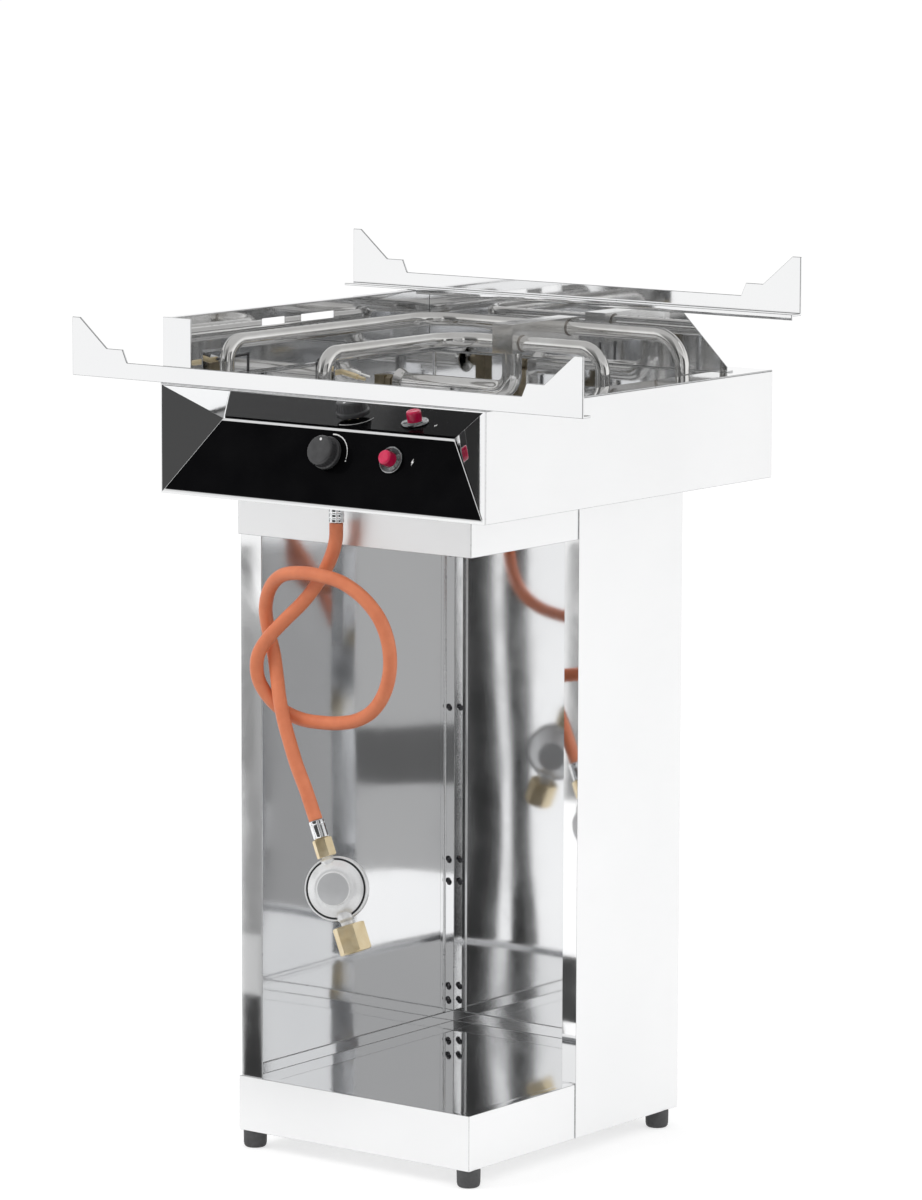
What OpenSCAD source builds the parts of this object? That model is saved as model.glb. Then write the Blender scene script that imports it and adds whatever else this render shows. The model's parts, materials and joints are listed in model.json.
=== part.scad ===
// Paella burner: a gas burner head on a sheet steel stand, with two pan rails,
// a hose and a regulator. Millimetres, +Z up, the floor at z = 0,
// X from left to right as seen from the front, +Y towards the back.

/* [Stand] */
// Width of the stand, left to right
stand_w = 318; // [280:1:340]
// Depth of the stand, front to back
stand_d = 387; // [360:1:420]
// Height of the stand, from its base to the underside of the head
stand_h = 709; // [560:1:760]
// Height of the band round the base
base_band_h = 61; // [45:1:90]
// Height of the band under the head
top_band_h = 46; // [35:1:70]
// How far the stand stands back from the head's front
stand_setback = 57; // [54:1:70]
// Distance from the stand's front to the seam of the right panel
side_seam = 191; // [150:1:240]
// Thickness of the sheet steel
sheet_t = 1.5; // [1.2:0.1:2]
// Width of the left panel's front return
left_return_w = 29; // [22:1:40]
// Width of the right panel's front return
right_return_w = 19; // [16:1:28]
// Width of the folded edge inside the bands
hem_w = 12; // [10:1:16]
// Depth of the tray's floor below the edge of its band
tray_drop = 4; // [3.5:0.5:8]
// Height of the tray's lip along the closed sides
tray_lip_h = 12; // [8:1:16]
// Leg width of the rear corner angles
post_w = 18; // [16:1:26]

/* [Feet] */
// Diameter of a rubber foot
foot_d = 26; // [20:1:32]
// Height of a rubber foot
foot_h = 20; // [14:1:30]

/* [Head] */
// Width of the head
head_w = 440; // [425:1:480]
// Depth of the head
head_d = 528; // [515:1:580]
// Height of the head up to its rim
head_h = 120; // [117:1:140]
// Width of the rim on the right of the well
rim_w = 40; // [30:1:46]
// Distance from the head's front to the well
well_front = 36; // [35:1:44]
// Depth of the well below the rim
well_depth = 46; // [40:1:50]
// Height of the wind guard above the rim
guard_h = 71; // [64:1:90]
// Distance from the head's back to the rear wind guard
guard_back = 57; // [40:1:64]
// Width of the left guard's front return
guard_return_w = 39; // [25:1:50]
// Width of the shelf on top of the rear guard
guard_shelf_w = 36; // [34:1:40]

/* [Control panel] */
// Width of the steel edge round the recess
frame_w = 3; // [2.5:0.5:5]
// Height of the sloping panel
panel_rise = 80; // [74:1:84]
// How far the panel's top edge is set back
panel_recess = 30; // [26:1:31]
// Width of the recess at the panel's top edge
panel_top_w = 314; // [290:1:340]
// Thickness of the black panel
panel_t = 1.5; // [1:0.1:2]
// Steel left bare along the panel's edges
panel_edge = 1.5; // [1:0.5:4]
// Height of the knob up the slope
knob_v = 56; // [50:1:58]
// Diameter of the knob's skirt
knob_d = 36; // [32:1:42]
// Height of the knob
knob_h = 17; // [16:1:24]
// Travel of the knob when it is pressed
knob_travel = 4; // [3:0.5:5]
// Distance of the igniter from the middle of the panel
igniter_x = 83; // [70:1:95]
// Diameter of the igniter's bezel
bezel_d = 30; // [26:1:32]
// Diameter of the igniter's button
button_d = 16; // [14:1:20]
// Travel of the igniter's button
button_travel = 6; // [4:0.5:7]

/* [Burner] */
// Diameter of the burner tubes
tube_d = 16; // [14:0.5:18]
// Wall of the burner tubes
tube_wall = 1.2; // [1:0.1:2]
// Distance of the outer tube from the head's left side
outer_gap = 42; // [40:1:46]
// Height of the outer tube above the rim
outer_rise = 42; // [38:1:48]
// Height of the inner tube above the rim
inner_rise = 31; // [28:1:34]
// Step from the outer tube to the inner one, across
ring_step_x = 96; // [80:1:104]
// Step from the outer tube to the inner one, front to back
ring_step_y = 88; // [80:1:94]
// Diameter of the mixing tube
mixer_d = 22; // [20:0.5:24]

/* [Pan rails] */
// Length of the front rail
front_rail_l = 691; // [600:1:760]
// Length of the rear rail
rear_rail_l = 619; // [560:1:700]
// Thickness of the rails
rail_t = 2.5; // [2:0.1:3]
// Height of the rails between the ears
rail_web_h = 18; // [14:1:24]
// Height of the ears
ear_h = 64; // [50:1:80]
// Width of the rails' foot
rail_foot_w = 14; // [12:1:20]

/* [Gas hose] */
// Diameter of the hose
hose_d = 15; // [12:0.5:16]
// Diameter of the regulator's housing
regulator_d = 70; // [60:1:76]
// Width of the cylinder nut across its corners
union_nut_d = 36; // [32:0.5:40]
// Radius of the cylinder nut's thread
union_thread_r = 10.9; // [10:0.1:12]

/* [Hidden] */
$fn = 64;
cut = 1;
fit_gap = 0.3;
run_gap = 0.06;
seam_gap = 2;
grid = 0.1;
ball_over = 0.4;
skin_gap = 0.5;

// Where the main pieces stand
tilt = atan(panel_recess / panel_rise);
slope_l = norm([panel_recess, panel_rise]);
knob_lift = panel_t + knob_travel + fit_gap;
knob_taper = 2.5;
knob_face_r = knob_d / 2 - knob_taper;
knob_top = knob_lift + knob_h;
front_reach = knob_top * cos(tilt) + knob_face_r * sin(tilt) - knob_v * sin(tilt);
fy = -round((head_d - front_reach) / 2 / grid) * grid;
base_z = foot_h;
head_z = base_z + stand_h;
rim_z = head_z + head_h;
guard_z = rim_z + guard_h;
xl = -head_w / 2;
xr = head_w / 2;
by = fy + head_d;
sx = stand_w / 2;
sfy = fy + stand_setback;
sby = sfy + stand_d;
seam_y = sfy + side_seam;
panel_z = head_z + frame_w;
floor_z = rim_z - well_depth;

// Stand: the panels stand inside the bands
wall_x0 = -sx + sheet_t + skin_gap;
wall_y0 = sfy + sheet_t + skin_gap;
wall_y1 = sby - sheet_t - skin_gap;
inset_x = sx - sheet_t - skin_gap;
wall_x1 = inset_x - sheet_t - skin_gap;
wall_z0 = base_z + base_band_h - tray_drop;
post_z0 = wall_z0 + tray_lip_h;

// Well and rim
rim_left_w = 14;
well_x0 = xl + rim_left_w;
well_x1 = xr - rim_w;
well_y0 = fy + well_front;
guard_front_y = by - guard_back;
well_back_gap = 4;
well_y1 = guard_front_y - well_back_gap;
well_r = 3;

// Burner tubes
tube_r = tube_d / 2;
leg_bend = 22;
corner_bend = 45;
outer_x = xl + outer_gap;
outer_leg_gap = 26;
outer_front = well_y0 + outer_leg_gap;
outer_back_gap = 39;
outer_rear = well_y1 - outer_back_gap;
outer_right_gap = 12;
outer_right = well_x1 - outer_right_gap;
outer_z = rim_z + outer_rise;
outer_right_bend = 36;
inner_x = outer_x + ring_step_x;
inner_front_step = 48;
inner_front = outer_front + inner_front_step;
inner_rear = outer_rear - ring_step_y;
inner_right_step = 44;
inner_right = outer_right - inner_right_step;
inner_z = rim_z + inner_rise;
inner_right_bend = 28;

// Manifold bar that feeds the four tubes
bar_w = 28;
bar_end = 18;
bar_wall = 3;
bar_z0 = inner_z - tube_r - bar_wall;
bar_z1 = outer_z + tube_r + bar_wall;
bar_y0 = inner_rear - bar_end;
bar_y1 = outer_rear + bar_end;

// Mixing tube below the bar
mixer_r = mixer_d / 2;
mixer_wall = 1.5;
mixer_lift = 12;
mixer_z = floor_z + mixer_lift + mixer_r;
mixer_gap_l = 60;
mixer_x0 = well_x0 + mixer_gap_l;
mixer_bend = 20;
bell_flare = 5;
bell_r = mixer_r + bell_flare;
bell_l = 10;
strap_w = 16;
strap_in = 70;
strap_x = mixer_x0 + strap_in;

// Injector in front of the mixing tube's mouth
jet_gap = 4;
jet_r = 5;
jet_nose_r = 3;
jet_nose_l = 6;
jet_hex_r = 7.5;
jet_hex_l = 8;
jet_x = mixer_x0 - bell_l - jet_gap;
jet_bore_r = 1.2;
pipe_r = 4;
pipe_wall = 1;
pipe_lift = 24;
pipe_z = head_z + pipe_lift;
post_t = 3;
jet_block = 14;
jet_block_x = jet_x - jet_nose_l - jet_hex_l - jet_block / 2;

// Thermocouple and spark electrode on their bracket
pilot_gap = 40;
pilot_in = 80;
pilot_x = inner_x - pilot_gap;
pilot_y = inner_front + pilot_in;
pilot_tilt = 11;
pilot_drop = 28;
pilot_z = inner_z - pilot_drop;
pilot_plate_t = 2;
pilot_plate_w = 40;
pilot_spread = 16;
couple_r = 3;
couple_l = 46;
couple_tip_l = 10;
couple_tip_r = 2;
spark_r = 2.5;
spark_l = 26;
spark_wire_r = 1;
spark_wire_l = 14;
couple_back = 12;
lead_r = 1.5;
lead_lift = 60;
lead_z = head_z + lead_lift;

// Valve behind the panel
valve_w = 34;
valve_h = 28;
valve_l = 38;
plug_r = 7;
plug_l = 30;
spindle_r = 4;
spindle_in = 12;
spring_r = 6;
spring_wall = 0.8;
spring_room = 9;
collar_r = 5.6;
collar_t = 2;
knob_bore_l = 14;
knob_skirt_h = 5;
knob_edge = 1;
panel_top_edge = 3;
dot_r = 1.6;
dot_t = 0.4;
dot_in = 4;

// Igniter
button_r = button_d / 2;
button_proud = 15;
button_in = 12;
bezel_h = 4;
bezel_edge = 2;
barrel_wall = 2.2;
barrel_r = button_r + barrel_wall;
barrel_l = 46;
barrel_back = 5;
nut_t = 5;
nut_over = 5;
nut_r = barrel_r + nut_over;
piezo_spring_r = 5;

// Hose exit
inlet_x = -9;
inlet_in = 40;
inlet_y = fy + inlet_in;
ferrule_wall = 1;
ferrule_r = hose_d / 2 + ferrule_wall;
ferrule_l = 20;
inlet_r = 6;
inlet_nut_r = 11;
inlet_nut_h = 9;

// Regulator, measured down its axis from the hose's end
reg_tilt = -22;
reg_face_turn = 25;
end_ferrule_l = 21;
hose_nut_r = 11;
hose_nut_l = 20;
reg_mid = 77;
reg_r = regulator_d / 2;
reg_t = 20;
reg_rim_t = 5;
reg_cap_h = 9;
reg_boss_h = 2.5;
reg_boss_share = 0.52;
reg_cap_share = 0.9;
reg_stem_r = 6;
union_stem_r = 7;
union_step = 6;
union_z0 = reg_mid + reg_r + union_step;
union_top_t = 8;
union_room_l = 7;
union_thread_l = 15;
union_relief = 0.7;
union_room_r = union_thread_r + union_relief;
union_collar_t = 3;
union_collar_gap = 1;
union_collar_r = union_thread_r - union_collar_gap;
union_seal_t = 2.2;

// Rails: where the ear's outline turns, as shares of its height and width
ear_w = 78;
ear_top_share = 0.14;
ear_slope_share = 0.63;
ear_step_share = 0.5;
ear_flat_share = 0.92;
rail_lip = 4;
rail_proud = 1;
rear_rail_in = 23;
front_rail_y = fy - rail_proud;
rear_rail_y = guard_front_y - rear_rail_in;
lip_gap = 1;

// Route of the hose: x, distance back from the head's front, height from the head's underside
hose_route = [
    [-9, 40, -20], [-10, 40, -40], [-19, 41, -62], [-35, 42, -86], [-54, 40, -109], [-75, 33, -131],
    [-93, 26, -152], [-104, 23, -172], [-105, 25, -195], [-96, 31, -215], [-80, 37, -230],
    [-58, 42, -238], [-33, 43, -239], [-7, 42, -237], [19, 40, -231], [43, 37, -218],
    [61, 34, -197], [71, 31, -170], [71, 28, -141], [61, 25, -115], [41, 22, -94], [14, 20, -80],
    [-16, 19, -75], [-45, 20, -75], [-72, 24, -81], [-93, 31, -97], [-105, 38, -120], [-106, 44, -146],
    [-97, 42, -170], [-87, 35, -193], [-76, 26, -215], [-65, 20, -238], [-54, 17, -261],
    [-43, 15, -284], [-31, 15, -308], [-17, 15, -340]
];
hose_sides = 10;
full_turn = 360;
hose_end = hose_route[len(hose_route) - 1];

// Small pieces
valve_gap = sheet_t;
post_leg_t = 2;
screw_height_shares = [0.019, 0.045, 0.237, 0.277, 0.554, 0.832];
screw_r = 3.2;
screw_t = 2;
screw_in = 11;
bolt_r = 5;
bolt_h = 4;
bolt_in = 30;
foot_side_in = 11;
foot_front_in = 14;
foot_rear_in = 24;
foot_tab = 22;
foot_bolt_r = 4;
foot_bolt_head_r = 7;
foot_bolt_head_h = 4;
foot_edge = 2;
panel_hole_r = 6;
cheek_slope = (head_w / 2 - frame_w - panel_top_w / 2) / panel_recess;
lead_gap = 34;
lead_x = pilot_x - lead_gap;
slot_shares = [[0.32, 0.075], [0.45, 0.11]];
slot_h = 8;
slot_drop = 22;
guard_inset = 2;
guard_level_in = 90;
guard_end_in = 22;
guard_end_h = 6;
guard_screw_share = [0.15, 0.5, 0.85];
pipe_seat = 6;
lead_step = 10;
lead_in = 26;
valve_back = valve_gap + valve_l;
plug_back = valve_gap + plug_l;
valve_mid = valve_gap + valve_l / 2;
valve_low = behind_panel(knob_v - valve_h / 2, -valve_mid);
valve_rear = behind_panel(knob_v, -valve_back);
valve_side = behind_panel(knob_v, -valve_mid) - [valve_w / 2, 0, 0];
igniter_rear = behind_panel(knob_v, panel_t - barrel_l) + [igniter_x, 0, 0];
slope_down = [0, -sin(tilt), -cos(tilt)];
panel_in = [0, cos(tilt), -sin(tilt)];
inlet_knee = 13;
inlet_step = 8;
feed_step = 18;
feed_out = 40;

// Colours
steel = [0.86, 0.87, 0.88];
tube_steel = [0.66, 0.66, 0.66];
black_gloss = [0.03, 0.03, 0.035];
rubber_grey = [0.16, 0.16, 0.17];
brass_gold = [0.83, 0.68, 0.4];
orange_rubber = [0.8, 0.42, 0.28];
button_red = [0.75, 0.03, 0.2];
silver_paint = [0.82, 0.83, 0.85];

// Helpers

// A point that lies so far up the panel and so far out of it
function behind_panel(v, w) = [0, fy + v * sin(tilt) - w * cos(tilt), panel_z + v * cos(tilt) + w * sin(tilt)];

// A box between two corners
module block(a, b) {
    translate(a) cube(b - a);
}

function unit(v) = v / norm(v);
function bend_turn(p, i) = acos(unit(p[i] - p[i - 1]) * unit(p[i + 1] - p[i]));
function bend_back(p, bends, i) = bends[i] == 0 ? 0 : bends[i] * tan(bend_turn(p, i) / 2);
function lengthen(p, e) = [
    for (i = [0 : len(p) - 1])
        i == 0 ? p[0] - e * unit(p[1] - p[0])
        : i == len(p) - 1 ? p[i] + e * unit(p[i] - p[i - 1])
        : p[i]
];

// A round rod along a path, with its corners bent to the radii in a list
module bent_rod(p, bends, r) {
    d = unit(p[1] - p[0]);
    a = acos(d.z);
    b = atan2(d.y, d.x);
    translate(p[0]) rotate([0, a, b]) rod_step(p, bends, r, 0, [cos(b) * cos(a), sin(b) * cos(a), -sin(a)]);
}

// One straight of the rod, the bend after it and then the rest, each set on the one before
module rod_step(p, bends, r, i, side) {
    u = unit(p[i + 1] - p[i]);
    l = norm(p[i + 1] - p[i]) - bend_back(p, bends, i) - bend_back(p, bends, i + 1);
    cylinder(r = r, h = l);
    if (i + 2 < len(p)) {
        v = unit(p[i + 2] - p[i + 1]);
        m = unit(v - u * (u * v));
        a = bend_turn(p, i + 1);
        bend = bends[i + 1];
        translate([0, 0, l]) rotate([0, 0, atan2(m * cross(u, side), m * side)]) {
            multmatrix([[-1, 0, 0, bend], [0, 0, 1, 0], [0, 1, 0, 0]])
                rotate_extrude(angle = a) translate([bend, 0]) circle(r = r);
            translate([bend, 0, 0]) rotate([0, a, 0]) translate([-bend, 0, 0])
                rod_step(p, bends, r, i + 1, m * cos(a) - u * sin(a));
        }
    }
}

// The same rod with a bore
module bent_tube(p, bends, r, wall) {
    difference() {
        bent_rod(p, bends, r);
        bent_rod(lengthen(p, cut), bends, r - wall);
    }
}

// A round rod along a path with slanting parts: mitred corners, each closed by a ball
module mitred_rod(p, r) {
    for (i = [0 : len(p) - 2]) rod(p[i], p[i + 1], r);
    for (i = [1 : len(p) - 2]) translate(p[i]) sphere(r = r + ball_over);
}

// A straight rod from one point to another
module rod(a, b, r) {
    d = b - a;
    translate(a) rotate([0, acos(d.z / norm(d)), atan2(d.y, d.x)]) cylinder(r = r, h = norm(d));
}

// Puts its children on the sloping panel: across, up the slope and out of it
module on_panel(u, v, w) {
    translate([u, fy, panel_z]) rotate([90 - tilt, 0, 0]) translate([0, v, w]) children();
}

// Puts its children on the regulator's axis, with -Z along the way the gas comes from
module on_regulator() {
    translate([hose_end.x, fy + hose_end.y, head_z + hose_end.z])
        rotate([0, reg_tilt, 0]) rotate([180, 0, reg_face_turn]) children();
}

// Stand

// Outline of the stand in plan, drawn in by a step all round
module stand_plan(step) {
    polygon([
        [-sx + step, sfy + step], [sx - step, sfy + step], [sx - step, seam_y - step],
        [inset_x - step, seam_y - step], [inset_x - step, sby - step], [-sx + step, sby - step]
    ]);
}

// A band round the stand, with folded edges along the open front and right
module band(z0, z1, hem_z) {
    translate([0, 0, z0]) linear_extrude(z1 - z0) difference() {
        stand_plan(0);
        stand_plan(sheet_t);
    }
    block([wall_x0 + left_return_w + skin_gap, sfy + sheet_t, hem_z],
        [sx - sheet_t, sfy + hem_w, hem_z + sheet_t]);
    block([sx - hem_w, sfy + hem_w, hem_z], [sx - sheet_t, seam_y - sheet_t, hem_z + sheet_t]);
}

// The floor is just below the band's edge, with a lip in front of the left and rear panels;
// tabs in the corners below carry the feet
module base_tray() {
    lip_x = wall_x0 + sheet_t + skin_gap;
    lip_y = wall_y1 - sheet_t - skin_gap;
    color(steel) union() {
        band(base_z, base_z + base_band_h, base_z + base_band_h - sheet_t);
        translate([0, 0, wall_z0 - sheet_t]) linear_extrude(sheet_t) stand_plan(sheet_t / 2);
        block([lip_x, wall_y0 + sheet_t + skin_gap, wall_z0 - sheet_t], [lip_x + sheet_t, lip_y, post_z0]);
        block([lip_x, lip_y - sheet_t, wall_z0 - sheet_t], [wall_x1, lip_y, post_z0]);
        difference() {
            intersection() {
                translate([0, 0, base_z]) linear_extrude(sheet_t) stand_plan(sheet_t / 2);
                foot_places() block([-foot_tab, -foot_tab, base_z - cut], [foot_tab, foot_tab, base_z + sheet_t + cut]);
            }
            foot_places() translate([0, 0, base_z - cut]) cylinder(r = foot_bolt_r, h = sheet_t + 2 * cut);
        }
    }
}

module top_frame() {
    color(steel) band(head_z - top_band_h, head_z, head_z - top_band_h);
}

module left_side_panel() {
    color(steel) union() {
        block([wall_x0, wall_y0, wall_z0], [wall_x0 + sheet_t, wall_y1, head_z]);
        block([wall_x0 + sheet_t, wall_y0, wall_z0],
            [wall_x0 + left_return_w, wall_y0 + sheet_t, head_z]);
    }
}

module rear_panel() {
    color(steel) block([wall_x0 + sheet_t, wall_y1 - sheet_t, wall_z0], [wall_x1, wall_y1, head_z]);
}

module right_rear_panel() {
    color(steel) union() {
        block([sx - sheet_t, seam_y + seam_gap, base_z], [sx, sby, head_z]);
        block([sx - right_return_w, seam_y + seam_gap, base_z + base_band_h + skin_gap],
            [sx - sheet_t, seam_y + seam_gap + sheet_t, head_z - top_band_h - skin_gap]);
        block([inset_x, sby - sheet_t, base_z], [sx - sheet_t, sby, head_z]);
    }
}

// An angle in a rear corner: side is 1 on the left and -1 on the right
module corner_post(side) {
    x = side > 0 ? wall_x0 + sheet_t : wall_x1;
    y = wall_y1 - sheet_t;
    color(steel) translate([x, y, post_z0]) linear_extrude(head_z - post_z0) polygon([
        [0, 0], [side * post_w, 0], [side * post_w, -post_leg_t], [side * post_leg_t, -post_leg_t],
        [side * post_leg_t, -post_w], [0, -post_w]
    ]);
}

module rear_left_post() {
    corner_post(1);
}

module rear_right_post() {
    corner_post(-1);
}

// Screws through both legs of each rear post, in pairs up the corner
module post_screws() {
    y = wall_y1 - sheet_t - post_leg_t;
    color(rubber_grey) for (s = screw_height_shares) {
        z = post_z0 + s * (head_z - post_z0);
        translate([wall_x0 + sheet_t + screw_in, y, z])
            rotate([90, 0, 0]) cylinder(r = screw_r, h = screw_t);
        translate([wall_x1 - screw_in, y, z]) rotate([90, 0, 0]) cylinder(r = screw_r, h = screw_t);
        translate([wall_x0 + sheet_t + post_leg_t, wall_y1 - sheet_t - screw_in, z])
            rotate([0, 90, 0]) cylinder(r = screw_r, h = screw_t);
        translate([wall_x1 - post_leg_t, wall_y1 - sheet_t - screw_in, z])
            rotate([0, -90, 0]) cylinder(r = screw_r, h = screw_t);
    }
}

// Bolts that hold the head's floor to the stand's rear posts and its front corners
module head_bolts() {
    color(steel) for (x = [wall_x0 + bolt_in, wall_x1 - bolt_in], y = [wall_y0 + bolt_in, wall_y1 - bolt_in])
        translate([x, y, head_z - bolt_h]) cylinder(r = bolt_r, h = bolt_h, $fn = 6);
}

function foot_x(side) = side * (sx - foot_side_in);
function foot_y(end) = end < 0 ? sfy + foot_front_in : sby - foot_rear_in;
module foot_places() {
    for (side = [-1, 1], end = [-1, 1]) translate([foot_x(side), foot_y(end), 0]) children();
}

// A turned rubber foot with a bore for its bolt
module foot(side, end) {
    r = foot_d / 2;
    color(rubber_grey) translate([foot_x(side), foot_y(end), 0]) rotate_extrude() polygon([
        [foot_bolt_r, 0], [r - foot_edge, 0], [r, foot_edge], [r, foot_h], [foot_bolt_r, foot_h]
    ]);
}

module foot_front_left() {
    foot(-1, -1);
}

module foot_front_right() {
    foot(1, -1);
}

module foot_rear_left() {
    foot(-1, 1);
}

module foot_rear_right() {
    foot(1, 1);
}

module foot_bolts() {
    color(steel) foot_places() {
        translate([0, 0, foot_edge]) cylinder(r = foot_bolt_r, h = base_z + sheet_t - foot_edge);
        translate([0, 0, base_z + sheet_t]) cylinder(r = foot_bolt_head_r, h = foot_bolt_head_h, $fn = 6);
    }
}

// Head

module head_shell() {
    color(steel) difference() {
        block([xl, fy + sheet_t, head_z], [xr, by, rim_z - sheet_t]);
        block([xl + sheet_t, fy, head_z - cut], [xr - sheet_t, by - sheet_t, rim_z]);
    }
}

module head_floor() {
    color(steel) difference() {
        block([xl + sheet_t, fy + sheet_t, head_z], [xr - sheet_t, by - sheet_t, head_z + sheet_t]);
        translate([inlet_x, inlet_y, head_z - cut]) cylinder(r = inlet_r, h = sheet_t + 2 * cut);
    }
}

// The wedge cut into the head's front: a full opening that closes to the panel's top edge.
// The steps move its lower, upper, side and back faces out.
module recess(low, high, side, back, reach) {
    w = head_w / 2 - frame_w + side;
    z0 = panel_z - low;
    z1 = rim_z - frame_w + high;
    yb = fy + panel_recess + back;
    t = w - cheek_slope * (panel_recess + back + cut);
    intersection() {
        translate([-head_w, 0, 0]) rotate([90, 0, 90]) linear_extrude(2 * head_w) polygon([
            [fy - reach, z0], [fy, z0], [yb, panel_z + panel_rise], [fy, z1], [fy - reach, z1]
        ]);
        translate([0, 0, head_z - head_h]) linear_extrude(3 * head_h) polygon([
            [-w, fy - reach], [w, fy - reach], [w, fy], [t, yb + cut], [-t, yb + cut], [-w, fy]
        ]);
    }
}

module front_fascia() {
    lid = atan2(rim_z - frame_w - panel_z - panel_rise, panel_recess);
    color(steel) difference() {
        union() {
            block([xl, fy, head_z], [xr, fy + sheet_t, rim_z - sheet_t]);
            intersection() {
                recess(sheet_t / sin(tilt), sheet_t / cos(lid), sheet_t * norm([1, cheek_slope]),
                    sheet_t / cos(tilt), 0);
                block([xl, fy + sheet_t / 2, head_z], [xr, by, rim_z - sheet_t]);
            }
        }
        recess(0, 0, 0, 0, cut);
        on_panel(0, knob_v, -knob_h) cylinder(r = panel_hole_r, h = 2 * knob_h);
        on_panel(igniter_x, knob_v, -knob_h) cylinder(r = barrel_r + fit_gap, h = 2 * knob_h);
    }
}

module control_panel() {
    k = (head_w / 2 - frame_w - panel_top_w / 2) / slope_l;
    w0 = head_w / 2 - frame_w - 2 * panel_edge;
    w1 = w0 - k * (slope_l - panel_edge - panel_top_edge);
    color(black_gloss) on_panel(0, 0, 0) difference() {
        linear_extrude(panel_t) polygon([
            [-w0, panel_edge], [w0, panel_edge], [w1, slope_l - panel_top_edge], [-w1, slope_l - panel_top_edge]
        ]);
        translate([0, knob_v, -cut]) cylinder(r = panel_hole_r, h = panel_t + 2 * cut);
        translate([igniter_x, knob_v, -cut]) cylinder(r = barrel_r + fit_gap, h = panel_t + 2 * cut);
    }
}

// Outline of the well's mouth, with rounded corners
module well_plan(grow) {
    translate([well_x0 - grow, well_y0 - grow]) rounded_plan(
        well_x1 - well_x0 + 2 * grow, well_y1 - well_y0 + 2 * grow, well_r + grow
    );
}

module rounded_plan(w, d, r) {
    translate([r, 0]) square([w - 2 * r, d]);
    translate([0, r]) square([w, d - 2 * r]);
    for (x = [r, w - r], y = [r, d - r]) translate([x, y]) circle(r = r);
}

module top_rim() {
    color(steel) translate([0, 0, rim_z - sheet_t]) linear_extrude(sheet_t) difference() {
        translate([xl, fy]) square([head_w, head_d]);
        well_plan(0);
    }
}

module well_tray() {
    color(steel) difference() {
        translate([0, 0, floor_z - sheet_t]) linear_extrude(rim_z - floor_z) well_plan(sheet_t);
        translate([0, 0, floor_z]) linear_extrude(rim_z - floor_z) well_plan(0);
        translate([jet_block_x, inner_rear, floor_z - sheet_t - cut])
            cylinder(r = pipe_r + fit_gap, h = sheet_t + 2 * cut);
        for (k = [0, 1]) translate([lead_x - k * lead_step, pilot_y + k * pilot_spread, floor_z - sheet_t - cut])
            cylinder(r = lead_r + fit_gap, h = sheet_t + 2 * cut);
    }
}

module left_wind_guard() {
    x = xl + guard_inset;
    y = front_rail_y + rail_t + fit_gap;
    color(steel) difference() {
        union() {
            block([x, y, rim_z], [x + sheet_t, by, guard_z]);
            block([x + sheet_t, y, rim_z], [x + guard_return_w, y + sheet_t, guard_z]);
            block([x + sheet_t, y + sheet_t, guard_z - sheet_t],
                [x + rim_left_w - guard_inset, guard_front_y - guard_shelf_w - skin_gap, guard_z]);
            block([x + sheet_t, by - sheet_t, rim_z], [x + guard_return_w, by, guard_z]);
        }
        for (s = slot_shares) block([x - cut, fy + s[0] * head_d, guard_z - slot_drop],
            [x + sheet_t + cut, fy + (s[0] + s[1]) * head_d, guard_z - slot_drop + slot_h]);
    }
}

// The rear guard's top runs level, then falls away to the rim on the right
module rear_wind_guard() {
    x0 = xl + guard_inset + sheet_t;
    x1 = xr - guard_level_in;
    x2 = xr - guard_end_in;
    color(steel) union() {
        translate([0, guard_front_y + sheet_t, rim_z]) rotate([90, 0, 0]) linear_extrude(sheet_t) polygon([
            [x0, 0], [x2, 0], [x2, guard_end_h], [x1, guard_h], [x0, guard_h]
        ]);
        block([x0, guard_front_y - guard_shelf_w, guard_z - sheet_t], [x1, guard_front_y, guard_z]);
        block([x0, guard_front_y + sheet_t, rim_z], [x2, guard_front_y + hem_w, rim_z + sheet_t]);
    }
}

module guard_screws() {
    color(steel) for (s = guard_screw_share)
        translate([xl + s * (head_w - guard_end_in), guard_front_y + hem_w / 2 + sheet_t / 2, rim_z + sheet_t])
            cylinder(r = screw_r, h = screw_t);
}

// Burner

module burner_manifold() {
    color(tube_steel) difference() {
        block([-bar_w / 2, bar_y0, bar_z0], [bar_w / 2, bar_y1, bar_z1]);
        block([-bar_w / 2 + bar_wall, bar_y0 + bar_wall, bar_z0 + bar_wall],
            [bar_w / 2 - bar_wall, bar_y1 - bar_wall, bar_z1 - bar_wall]);
        translate([0, inner_rear, bar_z0 - cut]) cylinder(r = mixer_r - mixer_wall, h = bar_wall + 2 * cut);
        for (p = [[inner_rear, inner_z], [outer_rear, outer_z]])
            translate([-bar_w, p[0], p[1]]) rotate([0, 90, 0]) cylinder(r = tube_r - tube_wall, h = 2 * bar_w);
    }
}

// A tube that runs left from the bar, turns wide to the front and comes down on a leg
module left_arm(x, front, rear, z) {
    color(tube_steel) bent_tube([
        [-bar_w / 2, rear, z], [x, rear, z], [x, front, z], [x, front, floor_z]
    ], [0, corner_bend, leg_bend, 0], tube_r, tube_wall);
}

// A tube that runs right from the bar and bends down to a leg
module right_arm(right, rear, z, bend) {
    color(tube_steel) bent_tube([
        [bar_w / 2, rear, z], [right, rear, z], [right, rear, floor_z]
    ], [0, bend, 0], tube_r, tube_wall);
}

module outer_tube_left() {
    left_arm(outer_x, outer_front, outer_rear, outer_z);
}

module outer_tube_right() {
    right_arm(outer_right, outer_rear, outer_z, outer_right_bend);
}

module inner_tube_left() {
    left_arm(inner_x, inner_front, inner_rear, inner_z);
}

module inner_tube_right() {
    right_arm(inner_right, inner_rear, inner_z, inner_right_bend);
}

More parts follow.
